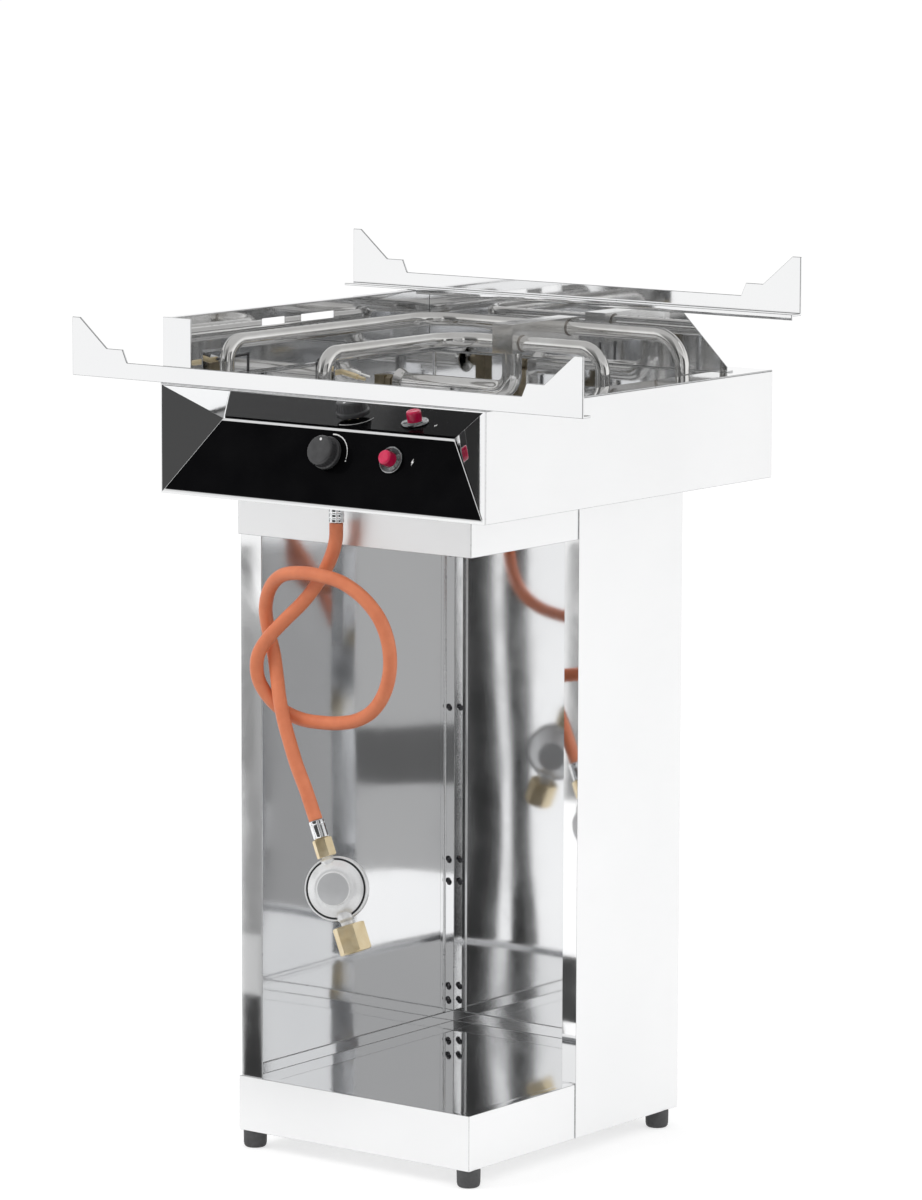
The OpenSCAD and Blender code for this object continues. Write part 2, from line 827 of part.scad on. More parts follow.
// The mixing tube lies under the bar, with a bell mouth, and rises into it
module mixing_tube() {
    color(tube_steel) union() {
        bent_tube([[mixer_x0, inner_rear, mixer_z], [0, inner_rear, mixer_z], [0, inner_rear, bar_z0]],
            [0, mixer_bend, 0], mixer_r, mixer_wall);
        translate([mixer_x0, inner_rear, mixer_z]) rotate([0, -90, 0]) rotate_extrude() polygon([
            [mixer_r - mixer_wall, 0], [mixer_r, 0], [bell_r, bell_l], [bell_r - mixer_wall, bell_l]
        ]);
    }
}

module mixing_tube_strap() {
    r = mixer_r + post_t;
    color(steel) difference() {
        union() {
            block([strap_x, inner_rear - r, floor_z], [strap_x + strap_w, inner_rear + r, mixer_z]);
            block([strap_x, inner_rear - r - strap_w, floor_z], [strap_x + strap_w, inner_rear + r + strap_w,
                floor_z + post_t]);
        }
        translate([strap_x - cut, inner_rear, mixer_z]) rotate([0, 90, 0])
            cylinder(r = mixer_r, h = strap_w + 2 * cut);
    }
}

module gas_injector() {
    color(brass_gold) translate([jet_x, inner_rear, mixer_z]) rotate([0, -90, 0]) difference() {
        union() {
            cylinder(r1 = jet_nose_r, r2 = jet_r, h = jet_nose_l);
            translate([0, 0, jet_nose_l]) cylinder(r = jet_hex_r, h = jet_hex_l, $fn = 6);
        }
        translate([0, 0, -cut]) cylinder(r = jet_bore_r, h = jet_nose_l + jet_hex_l + 2 * cut);
    }
}

// The block turns the feed pipe into the injector and stands on the tray
module injector_block() {
    h = jet_block / 2;
    color(brass_gold) difference() {
        block([jet_block_x - h, inner_rear - h, floor_z], [jet_block_x + h, inner_rear + h, mixer_z + h]);
        translate([jet_block_x, inner_rear, floor_z - cut]) cylinder(r = pipe_r, h = pipe_seat + cut);
        translate([jet_block_x, inner_rear, floor_z]) cylinder(r = pipe_r - pipe_wall, h = mixer_z - floor_z);
        translate([jet_block_x, inner_rear, mixer_z]) rotate([0, 90, 0])
            cylinder(r = pipe_r - pipe_wall, h = jet_block);
    }
}

// Pilot

module on_pilot(y, x) {
    translate([pilot_x, y, pilot_z]) rotate([0, 90 + pilot_tilt, 0]) translate([0, 0, x]) children();
}

module pilot_bracket() {
    w = pilot_plate_w / 2;
    mid = pilot_y + pilot_spread / 2;
    color(steel) difference() {
        union() {
            block([pilot_x - pilot_plate_t / 2, mid - w, floor_z],
                [pilot_x + pilot_plate_t / 2, mid + w, pilot_z + couple_back]);
            block([pilot_x - couple_back, mid - w, floor_z],
                [pilot_x - pilot_plate_t / 2, mid + w, floor_z + pilot_plate_t]);
        }
        on_pilot(pilot_y, -couple_l) cylinder(r = couple_r + run_gap, h = 2 * couple_l);
        on_pilot(pilot_y + pilot_spread, -couple_l) cylinder(r = spark_r + run_gap, h = 2 * couple_l);
    }
}

// A turned pin on the bracket: a body and a thinner tip, from the bracket's back
module pilot_pin(y, r, l, tip_r, tip_l) {
    on_pilot(y, -couple_back) rotate_extrude() polygon([
        [0, 0], [r, 0], [r, l], [tip_r, l], [tip_r, l + tip_l], [0, l + tip_l]
    ]);
}

module thermocouple() {
    color(brass_gold) pilot_pin(pilot_y, couple_r, couple_l - couple_tip_l, couple_tip_r, couple_tip_l);
}

module spark_electrode() {
    color("white") pilot_pin(pilot_y + pilot_spread, spark_r, spark_l, spark_wire_r, spark_wire_l);
}

// The start of a lead: from the back of a pilot piece to a place behind it
function lead_start(y, x) = let (
    a = [pilot_x - couple_back * cos(pilot_tilt), y, pilot_z + couple_back * sin(pilot_tilt)]
) [a, [x, y, a.z + (a.x - x) * tan(pilot_tilt)]];

// Down through the tray and forward to the valve's side
module thermocouple_lead() {
    tip = valve_side;
    p = concat(lead_start(pilot_y, lead_x), [[lead_x, pilot_y, tip.z], [lead_x, tip.y, tip.z], tip]);
    color(rubber_grey) mitred_rod(p, lead_r);
}

// Down through the tray and across to the igniter's back
module ignition_lead() {
    y = pilot_y + pilot_spread;
    x = lead_x - lead_step;
    q = igniter_rear + panel_in * lead_in;
    p = concat(lead_start(y, x), [
        [x, y, lead_z], [x, q.y, lead_z], [igniter_x, q.y, lead_z], q, igniter_rear
    ]);
    color(rubber_grey) mitred_rod(p, lead_r);
}

// Valve

module gas_valve() {
    color(brass_gold) difference() {
        union() {
            on_panel(0, knob_v, -valve_back) translate([-valve_w / 2, -valve_h / 2, 0])
                cube([valve_w, valve_h, valve_l]);
            on_panel(0, knob_v, -valve_gap - collar_t / 2)
                cylinder(r = panel_hole_r - fit_gap, h = valve_gap + (collar_t + panel_t) / 2);
        }
        on_panel(0, knob_v, -plug_back) cylinder(r = plug_r + run_gap, h = plug_l - collar_t);
        on_panel(0, knob_v, -valve_gap - plug_r) cylinder(r = spindle_r + run_gap, h = 2 * plug_r);
    }
}

module valve_plug() {
    color(steel) on_panel(0, knob_v, -plug_back + run_gap) difference() {
        cylinder(r = plug_r, h = plug_l - collar_t - 2 * run_gap);
        translate([0, 0, spindle_in]) cylinder(r = spring_r + run_gap, h = plug_l);
    }
}

// The spindle's flat drives the plug, and it slides in it when the knob is pressed
module valve_spindle() {
    z0 = -plug_back + spindle_in + spring_room;
    l = knob_lift + knob_bore_l - z0;
    color(steel) on_panel(0, knob_v, z0) rotate_extrude() polygon([
        [0, 0], [collar_r, 0], [collar_r, collar_t], [spindle_r, collar_t], [spindle_r, l], [0, l]
    ]);
}

// The springs are drawn as short as the press leaves them
module spindle_spring() {
    l = spring_room - knob_travel - fit_gap;
    color(steel) on_panel(0, knob_v, -plug_back + spindle_in + run_gap) difference() {
        cylinder(r = collar_r, h = l);
        translate([0, 0, -cut]) cylinder(r = collar_r - spring_wall, h = l + 2 * cut);
    }
}

module valve_knob() {
    r = knob_d / 2;
    color(rubber_grey) on_panel(0, knob_v, knob_lift) rotate_extrude() polygon([
        [spindle_r, 0], [r, 0], [r, knob_skirt_h], [r - knob_edge, knob_skirt_h + knob_edge],
        [knob_face_r + knob_edge, knob_h - knob_edge], [knob_face_r, knob_h], [0, knob_h], [0, knob_bore_l],
        [spindle_r, knob_bore_l]
    ]);
}

module knob_dot() {
    color("white") on_panel(0, knob_v + knob_face_r - dot_in, knob_top) cylinder(r = dot_r, h = dot_t);
}

// Pipes inside the head

// From the hose's fitting in the head's floor up into the valve
module gas_inlet_pipe() {
    p = [[inlet_x, inlet_y, head_z + inlet_nut_h], [inlet_x, inlet_y, head_z + inlet_knee],
        valve_low + slope_down * inlet_step, valve_low];
    color(tube_steel) union() {
        mitred_rod(p, pipe_r);
        translate([inlet_x, inlet_y, head_z - ferrule_l / 2]) cylinder(r = inlet_r, h = ferrule_l / 2 + inlet_nut_h);
        translate([inlet_x, inlet_y, head_z + sheet_t])
            cylinder(r = inlet_nut_r, h = inlet_nut_h - sheet_t, $fn = 6);
    }
}

// From the valve to the injector, under the tray
module gas_feed_pipe() {
    q = valve_rear + panel_in * feed_step;
    p = [valve_rear, q, [q.x, q.y + feed_out, pipe_z], [jet_block_x, q.y + feed_out, pipe_z],
        [jet_block_x, inner_rear, pipe_z], [jet_block_x, inner_rear, floor_z + pipe_seat]];
    color(tube_steel) mitred_rod(p, pipe_r);
}

// Igniter

module igniter_bezel() {
    r = bezel_d / 2;
    b = button_r + run_gap;
    color(steel) on_panel(igniter_x, knob_v, panel_t) rotate_extrude() polygon([
        [b, 0], [r, 0], [r, bezel_edge], [r - bezel_edge, bezel_h], [b, bezel_h]
    ]);
}

module igniter_body() {
    color(rubber_grey) on_panel(igniter_x, knob_v, panel_t - barrel_l) difference() {
        cylinder(r = barrel_r, h = barrel_l);
        translate([0, 0, barrel_back]) cylinder(r = button_r + run_gap, h = barrel_l);
    }
}

module igniter_nut() {
    color(steel) on_panel(igniter_x, knob_v, -sheet_t - nut_t) difference() {
        cylinder(r = nut_r, h = nut_t, $fn = 6);
        translate([0, 0, -cut]) cylinder(r = barrel_r, h = nut_t + 2 * cut);
    }
}

module igniter_button() {
    color(button_red) on_panel(igniter_x, knob_v, -button_in) rotate_extrude() polygon([
        [0, 0], [button_r, 0], [button_r, button_in + panel_t + button_proud - bezel_edge],
        [button_r - bezel_edge, button_in + panel_t + button_proud], [0, button_in + panel_t + button_proud]
    ]);
}

module igniter_spring() {
    z0 = panel_t - barrel_l + barrel_back;
    l = -button_in - z0 - button_travel - fit_gap;
    color(steel) on_panel(igniter_x, knob_v, z0) difference() {
        cylinder(r = piezo_spring_r, h = l);
        translate([0, 0, -cut]) cylinder(r = piezo_spring_r - spring_wall, h = l + 2 * cut);
    }
}

// Pan rails

// Outline of a rail: a low web with an ear at each end
module rail_outline(l) {
    h = l / 2;
    function ear(s) = [
        [s * (h - ear_w), rail_web_h], [s * (h - ear_w * ear_flat_share), ear_h * ear_step_share],
        [s * (h - ear_w * ear_slope_share), ear_h * ear_step_share], [s * (h - ear_w * ear_top_share), ear_h],
        [s * h, ear_h]
    ];
    left = ear(-1);
    polygon(concat([[-h, 0], [h, 0]], [for (i = [4 : -1 : 0]) ear(1)[i]], left));
}

// The front rail stands on the rim, with its foot to the back
module front_pan_rail() {
    color(steel) union() {
        translate([0, front_rail_y + rail_t, rim_z]) rotate([90, 0, 0]) linear_extrude(rail_t)
            rail_outline(front_rail_l);
        difference() {
            block([-front_rail_l / 2, front_rail_y + rail_t, rim_z],
                [front_rail_l / 2, front_rail_y + rail_foot_w, rim_z + rail_t]);
            block([xl - cut, front_rail_y, rim_z - cut],
                [xl + guard_inset + guard_return_w + skin_gap, fy + rail_foot_w + cut, guard_z]);
        }
    }
}

// The rear rail stands on the rear guard's shelf and hooks over its front edge
module rear_pan_rail() {
    y = rear_rail_y;
    lip_y = guard_front_y - guard_shelf_w - lip_gap;
    color(steel) union() {
        translate([0, y + rail_t, guard_z]) rotate([90, 0, 0]) linear_extrude(rail_t)
            rail_outline(rear_rail_l);
        block([-rear_rail_l / 2, lip_y - rail_t, guard_z], [rear_rail_l / 2, y, guard_z + rail_t]);
        block([xl + rim_left_w + skin_gap, lip_y - rail_t, guard_z - rail_lip],
            [rear_rail_l / 2, lip_y, guard_z]);
    }
}

// Hose and regulator

function ring_tangent(p, i) = unit(p[min(i + 1, len(p) - 1)] - p[max(i - 1, 0)]);
function ring(p, i) = let (
    t = ring_tangent(p, i), a = unit(cross(t, [0, 1, 0])), b = cross(t, a)
) [for (k = [0 : hose_sides - 1]) let (w = full_turn * k / hose_sides)
    p[i] + hose_d / 2 * (a * cos(w) + b * sin(w))];

module gas_hose() {
    p = [for (q = hose_route) [q.x, fy + q.y, head_z + q.z]];
    n = len(p);
    s = hose_sides;
    color(orange_rubber) polyhedron(
        points = [for (i = [0 : n - 1]) each ring(p, i)],
        faces = concat(
            [[for (k = [0 : s - 1]) k]],
            [for (i = [0 : n - 2], k = [0 : s - 1]) [i * s + k, (i + 1) * s + k, i * s + (k + 1) % s]],
            [for (i = [0 : n - 2], k = [0 : s - 1])
                [(i + 1) * s + k, (i + 1) * s + (k + 1) % s, i * s + (k + 1) % s]],
            [[for (k = [s - 1 : -1 : 0]) (n - 1) * s + k]]
        )
    );
}

module hose_top_ferrule() {
    color(steel) translate([inlet_x, inlet_y, head_z - ferrule_l]) difference() {
        cylinder(r = ferrule_r, h = ferrule_l - sheet_t);
        translate([0, 0, ferrule_l / 2]) cylinder(r = inlet_r, h = ferrule_l);
    }
}

module hose_end_ferrule() {
    color(steel) on_regulator() cylinder(r = ferrule_r, h = end_ferrule_l);
}

module hose_nut() {
    color(brass_gold) on_regulator() translate([0, 0, end_ferrule_l]) difference() {
        cylinder(r = hose_nut_r, h = hose_nut_l, $fn = 6);
        translate([0, 0, hose_nut_l / 2]) cylinder(r = reg_stem_r, h = hose_nut_l);
    }
}

// A round housing between two stems
module regulator_body() {
    stem_z0 = end_ferrule_l + hose_nut_l / 2;
    color(silver_paint) on_regulator() union() {
        translate([0, 0, reg_mid]) rotate([-90, 0, 0]) rotate_extrude() polygon([
            [0, -reg_t], [reg_r * reg_boss_share, -reg_t], [reg_r * reg_cap_share, -reg_rim_t],
            [reg_r, -reg_rim_t], [reg_r, 0], [0, 0]
        ]);
        translate([0, 0, stem_z0]) cylinder(r = reg_stem_r, h = reg_mid - reg_r * reg_cap_share - stem_z0);
        rotate_extrude() polygon([
            [0, reg_mid + reg_r * reg_cap_share], [union_stem_r, reg_mid + reg_r * reg_cap_share],
            [union_stem_r, union_z0 + union_top_t], [union_collar_r, union_z0 + union_top_t],
            [union_collar_r, union_z0 + union_top_t + union_collar_t], [0, union_z0 + union_top_t + union_collar_t]
        ]);
    }
}

// The cap's rim leaves room for the two stems
module regulator_cap() {
    color(silver_paint) on_regulator() difference() {
        translate([0, 0, reg_mid]) rotate([-90, 0, 0]) rotate_extrude() polygon([
            [0, 0], [reg_r, 0], [reg_r, reg_rim_t], [reg_r * reg_cap_share, reg_rim_t],
            [reg_r * reg_boss_share, reg_rim_t + reg_cap_h],
            [reg_r * reg_boss_share, reg_rim_t + reg_cap_h + reg_boss_h],
            [0, reg_rim_t + reg_cap_h + reg_boss_h]
        ]);
        cylinder(r = reg_stem_r + fit_gap, h = reg_mid - reg_r * reg_cap_share + fit_gap);
        translate([0, 0, reg_mid + reg_r * reg_cap_share - fit_gap])
            cylinder(r = union_stem_r + fit_gap, h = reg_r);
    }
}

module union_nut() {
    l = union_top_t + union_room_l + union_thread_l;
    color(brass_gold) on_regulator() translate([0, 0, union_z0]) difference() {
        cylinder(r = union_nut_d / 2, h = l, $fn = 6);
        translate([0, 0, -cut]) cylinder(r = union_stem_r + run_gap, h = l);
        translate([0, 0, union_top_t - fit_gap]) cylinder(r = union_room_r, h = union_room_l + fit_gap);
        translate([0, 0, union_top_t]) cylinder(r = union_thread_r, h = l);
    }
}

module union_seal() {
    color(rubber_grey) on_regulator() translate([0, 0, union_z0 + union_top_t + union_collar_t]) difference() {
        cylinder(r = union_collar_r, h = union_seal_t);
        translate([0, 0, -cut]) cylinder(r = union_stem_r / 2, h = union_seal_t + 2 * cut);
    }
}

base_tray();
top_frame();
left_side_panel();
rear_panel();
right_rear_panel();
rear_left_post();
rear_right_post();
post_screws();
head_bolts();
foot_front_left();
foot_front_right();
foot_rear_left();
foot_rear_right();
foot_bolts();
head_shell();
head_floor();
front_fascia();
control_panel();
top_rim();
well_tray();
left_wind_guard();
rear_wind_guard();
guard_screws();
burner_manifold();
outer_tube_left();
outer_tube_right();
inner_tube_left();
inner_tube_right();
mixing_tube();
mixing_tube_strap();
gas_injector();
injector_block();
pilot_bracket();
thermocouple();
thermocouple_lead();
spark_electrode();
ignition_lead();
gas_valve();
valve_plug();
valve_spindle();
spindle_spring();
valve_knob();
knob_dot();
gas_feed_pipe();
gas_inlet_pipe();
igniter_bezel();
igniter_body();
igniter_button();
igniter_spring();
igniter_nut();
front_pan_rail();
rear_pan_rail();
hose_top_ferrule();
gas_hose();
hose_end_ferrule();
hose_nut();
regulator_body();
regulator_cap();
union_nut();
union_seal();
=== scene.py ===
"""Paella burner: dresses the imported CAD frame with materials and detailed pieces."""
import json
import math

import bmesh
import bpy
from mathutils import Matrix, Vector

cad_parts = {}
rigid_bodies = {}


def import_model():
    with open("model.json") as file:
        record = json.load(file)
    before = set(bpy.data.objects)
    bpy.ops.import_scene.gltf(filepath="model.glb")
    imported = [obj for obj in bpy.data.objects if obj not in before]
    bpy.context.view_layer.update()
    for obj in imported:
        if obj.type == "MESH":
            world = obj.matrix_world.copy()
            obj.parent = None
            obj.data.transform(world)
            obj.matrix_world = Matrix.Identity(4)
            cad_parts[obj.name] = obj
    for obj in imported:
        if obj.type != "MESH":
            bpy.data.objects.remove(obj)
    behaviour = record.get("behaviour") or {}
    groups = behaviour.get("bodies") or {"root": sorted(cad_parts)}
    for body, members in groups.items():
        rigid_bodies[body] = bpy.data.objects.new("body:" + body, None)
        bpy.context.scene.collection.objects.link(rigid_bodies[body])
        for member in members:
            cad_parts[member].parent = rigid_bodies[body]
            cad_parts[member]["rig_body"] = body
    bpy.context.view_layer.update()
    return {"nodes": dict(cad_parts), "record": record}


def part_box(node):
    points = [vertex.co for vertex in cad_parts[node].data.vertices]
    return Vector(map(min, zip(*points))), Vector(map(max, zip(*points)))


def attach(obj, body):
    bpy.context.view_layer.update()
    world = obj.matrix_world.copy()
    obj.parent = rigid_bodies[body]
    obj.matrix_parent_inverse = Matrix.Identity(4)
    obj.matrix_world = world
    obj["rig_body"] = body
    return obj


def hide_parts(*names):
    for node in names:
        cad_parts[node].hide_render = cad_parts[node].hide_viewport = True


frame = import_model()
scene = bpy.context.scene
NODES = frame["nodes"]
SLOT_OF = {s["node"]: s["material_slot"] for s in frame["record"]["subparts"]}
MM = 0.001
TAU = 2 * math.pi

# Camera, where the photograph was taken from
camera = bpy.data.objects.new("camera", bpy.data.cameras.new("camera"))
scene.collection.objects.link(camera)
camera.data.lens = 169.08
camera.data.sensor_width = 36
camera.data.clip_end = 200
camera.matrix_world = Matrix((
    (0.795076, -0.089402, 0.599885, 3.7154),
    (0.606502, 0.111843, -0.787177, -4.8874),
    (0.003282, 0.989697, 0.143146, 1.4895),
    (0, 0, 0, 1),
))
scene.camera = camera
scene.view_settings.view_transform = "Standard"
# the polished sheets face each other, so light bounces between them many times
scene.cycles.max_bounces = 24
scene.cycles.glossy_bounces = 20

# Places that several pieces share, in mm
FRONT_Y = -260.4  # foot of the sloping panel
PANEL_Z = 732.0
PANEL_LEAN = math.atan2(30, 80)
HEAD_BOTTOM_Z = 729
KNOB_V = 56.0  # both controls, up the panel's slope
IGNITER_U = 83.0  # igniter, to the right of the knob


# Materials
def noise(tree, scale, detail=3.0, rough=0.5, stretch=None, distortion=0.0):
    """A noise value over the object's own coordinates."""
    coord = tree.nodes.new("ShaderNodeTexCoord")
    tex = tree.nodes.new("ShaderNodeTexNoise")
    tex.inputs["Scale"].default_value = scale
    tex.inputs["Detail"].default_value = detail
    tex.inputs["Roughness"].default_value = rough
    tex.inputs["Distortion"].default_value = distortion
    out = coord.outputs["Object"]
    if stretch:
        mapping = tree.nodes.new("ShaderNodeMapping")
        mapping.inputs["Scale"].default_value = stretch
        tree.links.new(out, mapping.inputs["Vector"])
        out = mapping.outputs["Vector"]
    tree.links.new(out, tex.inputs["Vector"])
    return tex.outputs["Fac"]


NOISE_LOW, NOISE_HIGH = 0.3, 0.7  # most of a noise's values lie between these


def spread(tree, value, low, high, start=NOISE_LOW, end=NOISE_HIGH):
    """Maps a value that runs from start to end to one that runs from low to high."""
    node = tree.nodes.new("ShaderNodeMapRange")
    node.inputs["From Min"].default_value = start
    node.inputs["From Max"].default_value = end
    node.inputs["To Min"].default_value = low
    node.inputs["To Max"].default_value = high
    tree.links.new(value, node.inputs["Value"])
    return node.outputs["Result"]


def blend_colors(tree, value, low, high):
    """Maps a noise value to a colour between two colours."""
    ramp = tree.nodes.new("ShaderNodeValToRGB")
    ends = zip(ramp.color_ramp.elements, (NOISE_LOW, NOISE_HIGH), (low, high))
    for element, position, color in ends:
        element.position = position
        element.color = (*color, 1)
    tree.links.new(value, ramp.inputs["Fac"])
    return ramp.outputs["Color"]


def surface(name, color, metallic, roughness, tint, gloss, relief=None, **sockets):
    """A material that varies a little from place to place.

    tint and gloss are (noise settings, lowest, highest) of the colour and the roughness,
    and relief is (noise settings, height in metres).
    """
    mat = bpy.data.materials.new(name)
    mat.use_nodes = True
    mat.diffuse_color = (*color, 1)
    tree = mat.node_tree
    shader = tree.nodes["Principled BSDF"]
    shader.inputs["Base Color"].default_value = (*color, 1)
    shader.inputs["Metallic"].default_value = metallic
    shader.inputs["Roughness"].default_value = roughness
    for key, value in sockets.items():
        shader.inputs[key.replace("_", " ")].default_value = value
    settings, low, high = tint
    tree.links.new(blend_colors(tree, noise(tree, *settings), low, high), shader.inputs["Base Color"])
    settings, low, high = gloss
    tree.links.new(spread(tree, noise(tree, *settings), low, high), shader.inputs["Roughness"])
    if relief:
        settings, height = relief
        bump = tree.nodes.new("ShaderNodeBump")
        bump.inputs["Strength"].default_value = 1.0
        bump.inputs["Distance"].default_value = height
        tree.links.new(noise(tree, *settings), bump.inputs["Height"])
        tree.links.new(bump.outputs["Normal"], shader.inputs["Normal"])
    return mat


# one material for each slot of the record
MATERIALS = {
    "stainless": surface(
        "polished_steel", (0.87, 0.875, 0.88), 1.0, 0.04,
        tint=((3.5, 3), (0.855, 0.86, 0.868), (0.89, 0.892, 0.895)),
        gloss=((9, 5, 0.62, None, 0.6), 0.02, 0.06), relief=((3.2, 1.0, 0.4), 0.0012)),
    "burner_steel": surface(
        "tube_steel", (0.76, 0.755, 0.745), 1.0, 0.12,
        tint=((14, 4, 0.6), (0.68, 0.67, 0.65), (0.83, 0.828, 0.82)),
        gloss=((40, 4, 0.6), 0.08, 0.17), relief=((30, 2), 0.00012)),
    "black_panel": surface(
        "gloss_black", (0.0035, 0.0035, 0.004), 0.0, 0.08,
        tint=((25, 4), (0.0025, 0.0025, 0.003), (0.0045, 0.0045, 0.005)),
        gloss=((60, 5, 0.7), 0.05, 0.12), relief=((9, 2), 0.0002), Specular_IOR_Level=0.015),
    "black_plastic": surface(
        "moulded_black", (0.045, 0.045, 0.047), 0.0, 0.38,
        tint=((120, 3), (0.038, 0.038, 0.04), (0.053, 0.053, 0.055)),
        gloss=((300, 3), 0.3, 0.44), relief=((700, 2), 0.00002)),
    "white_print": surface(
        "white_print", (0.85, 0.85, 0.84), 0.0, 0.35,
        tint=((300, 3), (0.8, 0.8, 0.79), (0.88, 0.88, 0.87)), gloss=((700, 3), 0.28, 0.42)),
    "red_plastic": surface(
        "red_plastic", (0.6, 0.006, 0.07), 0.0, 0.18,
        tint=((150, 3), (0.55, 0.005, 0.06), (0.66, 0.01, 0.085)),
        gloss=((300, 3), 0.14, 0.24), relief=((120, 2), 0.00004), Coat_Weight=0.3),
    "chrome": surface(
        "chrome", (0.8, 0.81, 0.82), 1.0, 0.08,
        tint=((60, 3), (0.76, 0.77, 0.78), (0.84, 0.85, 0.86)),
        gloss=((120, 4, 0.6), 0.05, 0.14), relief=((90, 2), 0.00003)),
    "dark_metal": surface(
        "dark_metal", (0.09, 0.09, 0.095), 0.8, 0.35,
        tint=((300, 3), (0.06, 0.06, 0.065), (0.12, 0.12, 0.125)), gloss=((300, 3), 0.28, 0.45)),
    "dark_rubber": surface(
        "dark_rubber", (0.085, 0.085, 0.087), 0.0, 0.65,
        tint=((180, 4), (0.07, 0.07, 0.072), (0.1, 0.1, 0.102)),
        gloss=((90, 4), 0.55, 0.78), relief=((900, 3), 0.00005)),
    "brass": surface(
        "brass", (0.84, 0.7, 0.45), 1.0, 0.36,
        tint=((70, 4, 0.6), (0.78, 0.63, 0.38), (0.88, 0.76, 0.53)),
        gloss=((120, 4), 0.32, 0.46), relief=((150, 3), 0.00003)),
    "hose_rubber": surface(
        "orange_rubber", (0.72, 0.215, 0.098), 0.0, 0.5,
        tint=((60, 4, 0.6), (0.68, 0.195, 0.088), (0.76, 0.238, 0.11)),
        gloss=((160, 4), 0.4, 0.56), relief=((500, 3), 0.00004)),
    "regulator_paint": surface(
        "silver_paint", (0.78, 0.785, 0.79), 0.35, 0.32,
        tint=((900, 2), (0.74, 0.745, 0.75), (0.83, 0.835, 0.84)),
        gloss=((150, 4), 0.28, 0.38), relief=((600, 2), 0.00001)),
}

# materials for parts of a piece, or for a finish that differs from its slot's; the first is a darker steel
# for softened edges, which paints shade along them
PAINTED_EDGE_SHADE = surface(
    "painted_edge_shade", (0.45, 0.455, 0.46), 1.0, 0.3,
    tint=((400, 3, 0.6), (0.36, 0.365, 0.37), (0.52, 0.525, 0.53)), gloss=((400, 3, 0.6), 0.24, 0.38))
SATIN = surface(
    "satin_steel", (0.9, 0.902, 0.905), 1.0, 0.4,
    tint=((4, 3), (0.885, 0.888, 0.892), (0.92, 0.922, 0.925)),
    gloss=((30, 4, 0.6, (1, 1, 40)), 0.36, 0.45))
# the igniter's ring: a metal much darker than chrome, painted to stand in for the dark reflections it shows
DARKENED_SPUN_RING = surface(
    "spun_ring_painted_dark", (0.3, 0.305, 0.31), 1.0, 0.12,
    tint=((130, 3), (0.2, 0.205, 0.21), (0.42, 0.425, 0.43)), gloss=((300, 3), 0.08, 0.18))
DULL_BRASS = surface(
    "dull_brass", (0.33, 0.28, 0.19), 1.0, 0.4,
    tint=((90, 4, 0.6), (0.26, 0.22, 0.15), (0.4, 0.34, 0.24)), gloss=((120, 4), 0.34, 0.48))
WELD = surface(
    "weld_bead", (0.36, 0.34, 0.32), 1.0, 0.35,
    tint=((260, 3), (0.24, 0.22, 0.21), (0.5, 0.47, 0.43)),
    gloss=((180, 3), 0.26, 0.46), relief=((320, 2), 0.0002))
BLANK_PLATE = surface(
    "blank_plate", (0.5, 0.505, 0.515), 0.3, 0.3,
    tint=((80, 2), (0.5, 0.505, 0.515), (0.53, 0.535, 0.545)), gloss=((90, 2), 0.4, 0.46))


# Pieces and their meshes
replaced_nodes = set()


def body_of(node):
    return NODES[node]["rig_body"]


def add_piece(name, bm, slot, body):
    """Turns a bmesh into a piece that rides on a body and takes a slot's material."""
    mesh = bpy.data.meshes.new(name)
    bm.to_mesh(mesh)
    bm.free()
    obj = bpy.data.objects.new(name, mesh)
    scene.collection.objects.link(obj)
    mesh.materials.append(MATERIALS[slot])
    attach(obj, body)
    return obj


def stand_in(name, bm, node):
    """A piece that takes a CAD node's place, on the node's body and with its slot."""
    obj = add_piece(name, bm, SLOT_OF[node], body_of(node))
    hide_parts(node)
    replaced_nodes.add(node)
    return obj


def smooth_by_angle(bm, degrees):
    """Turns a mesh's faces outward and shades it smooth, apart from edges sharper than an angle."""
    bmesh.ops.recalc_face_normals(bm, faces=bm.faces)
    limit = math.radians(degrees)
    for f in bm.faces:
        f.smooth = True
    for e in bm.edges:
        e.smooth = len(e.link_faces) == 2 and e.calc_face_angle(0) < limit


def rounded(points, radius, steps=4):
    """A profile with its corners rounded; points are (r, z) in mm, open at both ends."""
    out = [Vector(points[0])]
    for a, b, c in zip(points, points[1:], points[2:]):
        a, b, c = Vector(a), Vector(b), Vector(c)
        cut = min(radius, (a - b).length * 0.45, (c - b).length * 0.45)
        p, q = b + (a - b).normalized() * cut, b + (c - b).normalized() * cut
        for i in range(steps + 1):
            t = i / steps
            out.append(p.lerp(b, t).lerp(b.lerp(q, t), t))
    out.append(Vector(points[-1]))
    return out


def lathe(bm, profile, matrix, turns=48, radius_at=None):
    """Turns a profile of (r, z) points in mm round the matrix's Z axis."""
    rings = []
    for r, z in profile:
        if r < 1e-6:
            rings.append([bm.verts.new(matrix @ Vector((0, 0, z * MM)))])
            continue
        ring = []
        for k in range(turns):
            a = TAU * k / turns
            here = r if radius_at is None else radius_at(r, z, a)
            place = Vector((here * math.cos(a) * MM, here * math.sin(a) * MM, z * MM))
            ring.append(bm.verts.new(matrix @ place))
        rings.append(ring)
    for lower, upper in zip(rings, rings[1:]):
        for k in range(turns):
            m = (k + 1) % turns
            if len(lower) == 1 and len(upper) > 1:
                bm.faces.new((lower[0], upper[m], upper[k]))
            elif len(upper) == 1 and len(lower) > 1:
                bm.faces.new((lower[k], lower[m], upper[0]))
            elif len(lower) > 1:
                bm.faces.new((lower[k], lower[m], upper[m], upper[k]))
    return rings


def close_loop(bm, rings):
    """Joins the last ring to the first one, for a profile that goes all the way round."""
    first, last = rings[0], rings[-1]
    n = len(first)
    for k in range(n):
        m = (k + 1) % n
        bm.faces.new((last[k], last[m], first[m], first[k]))


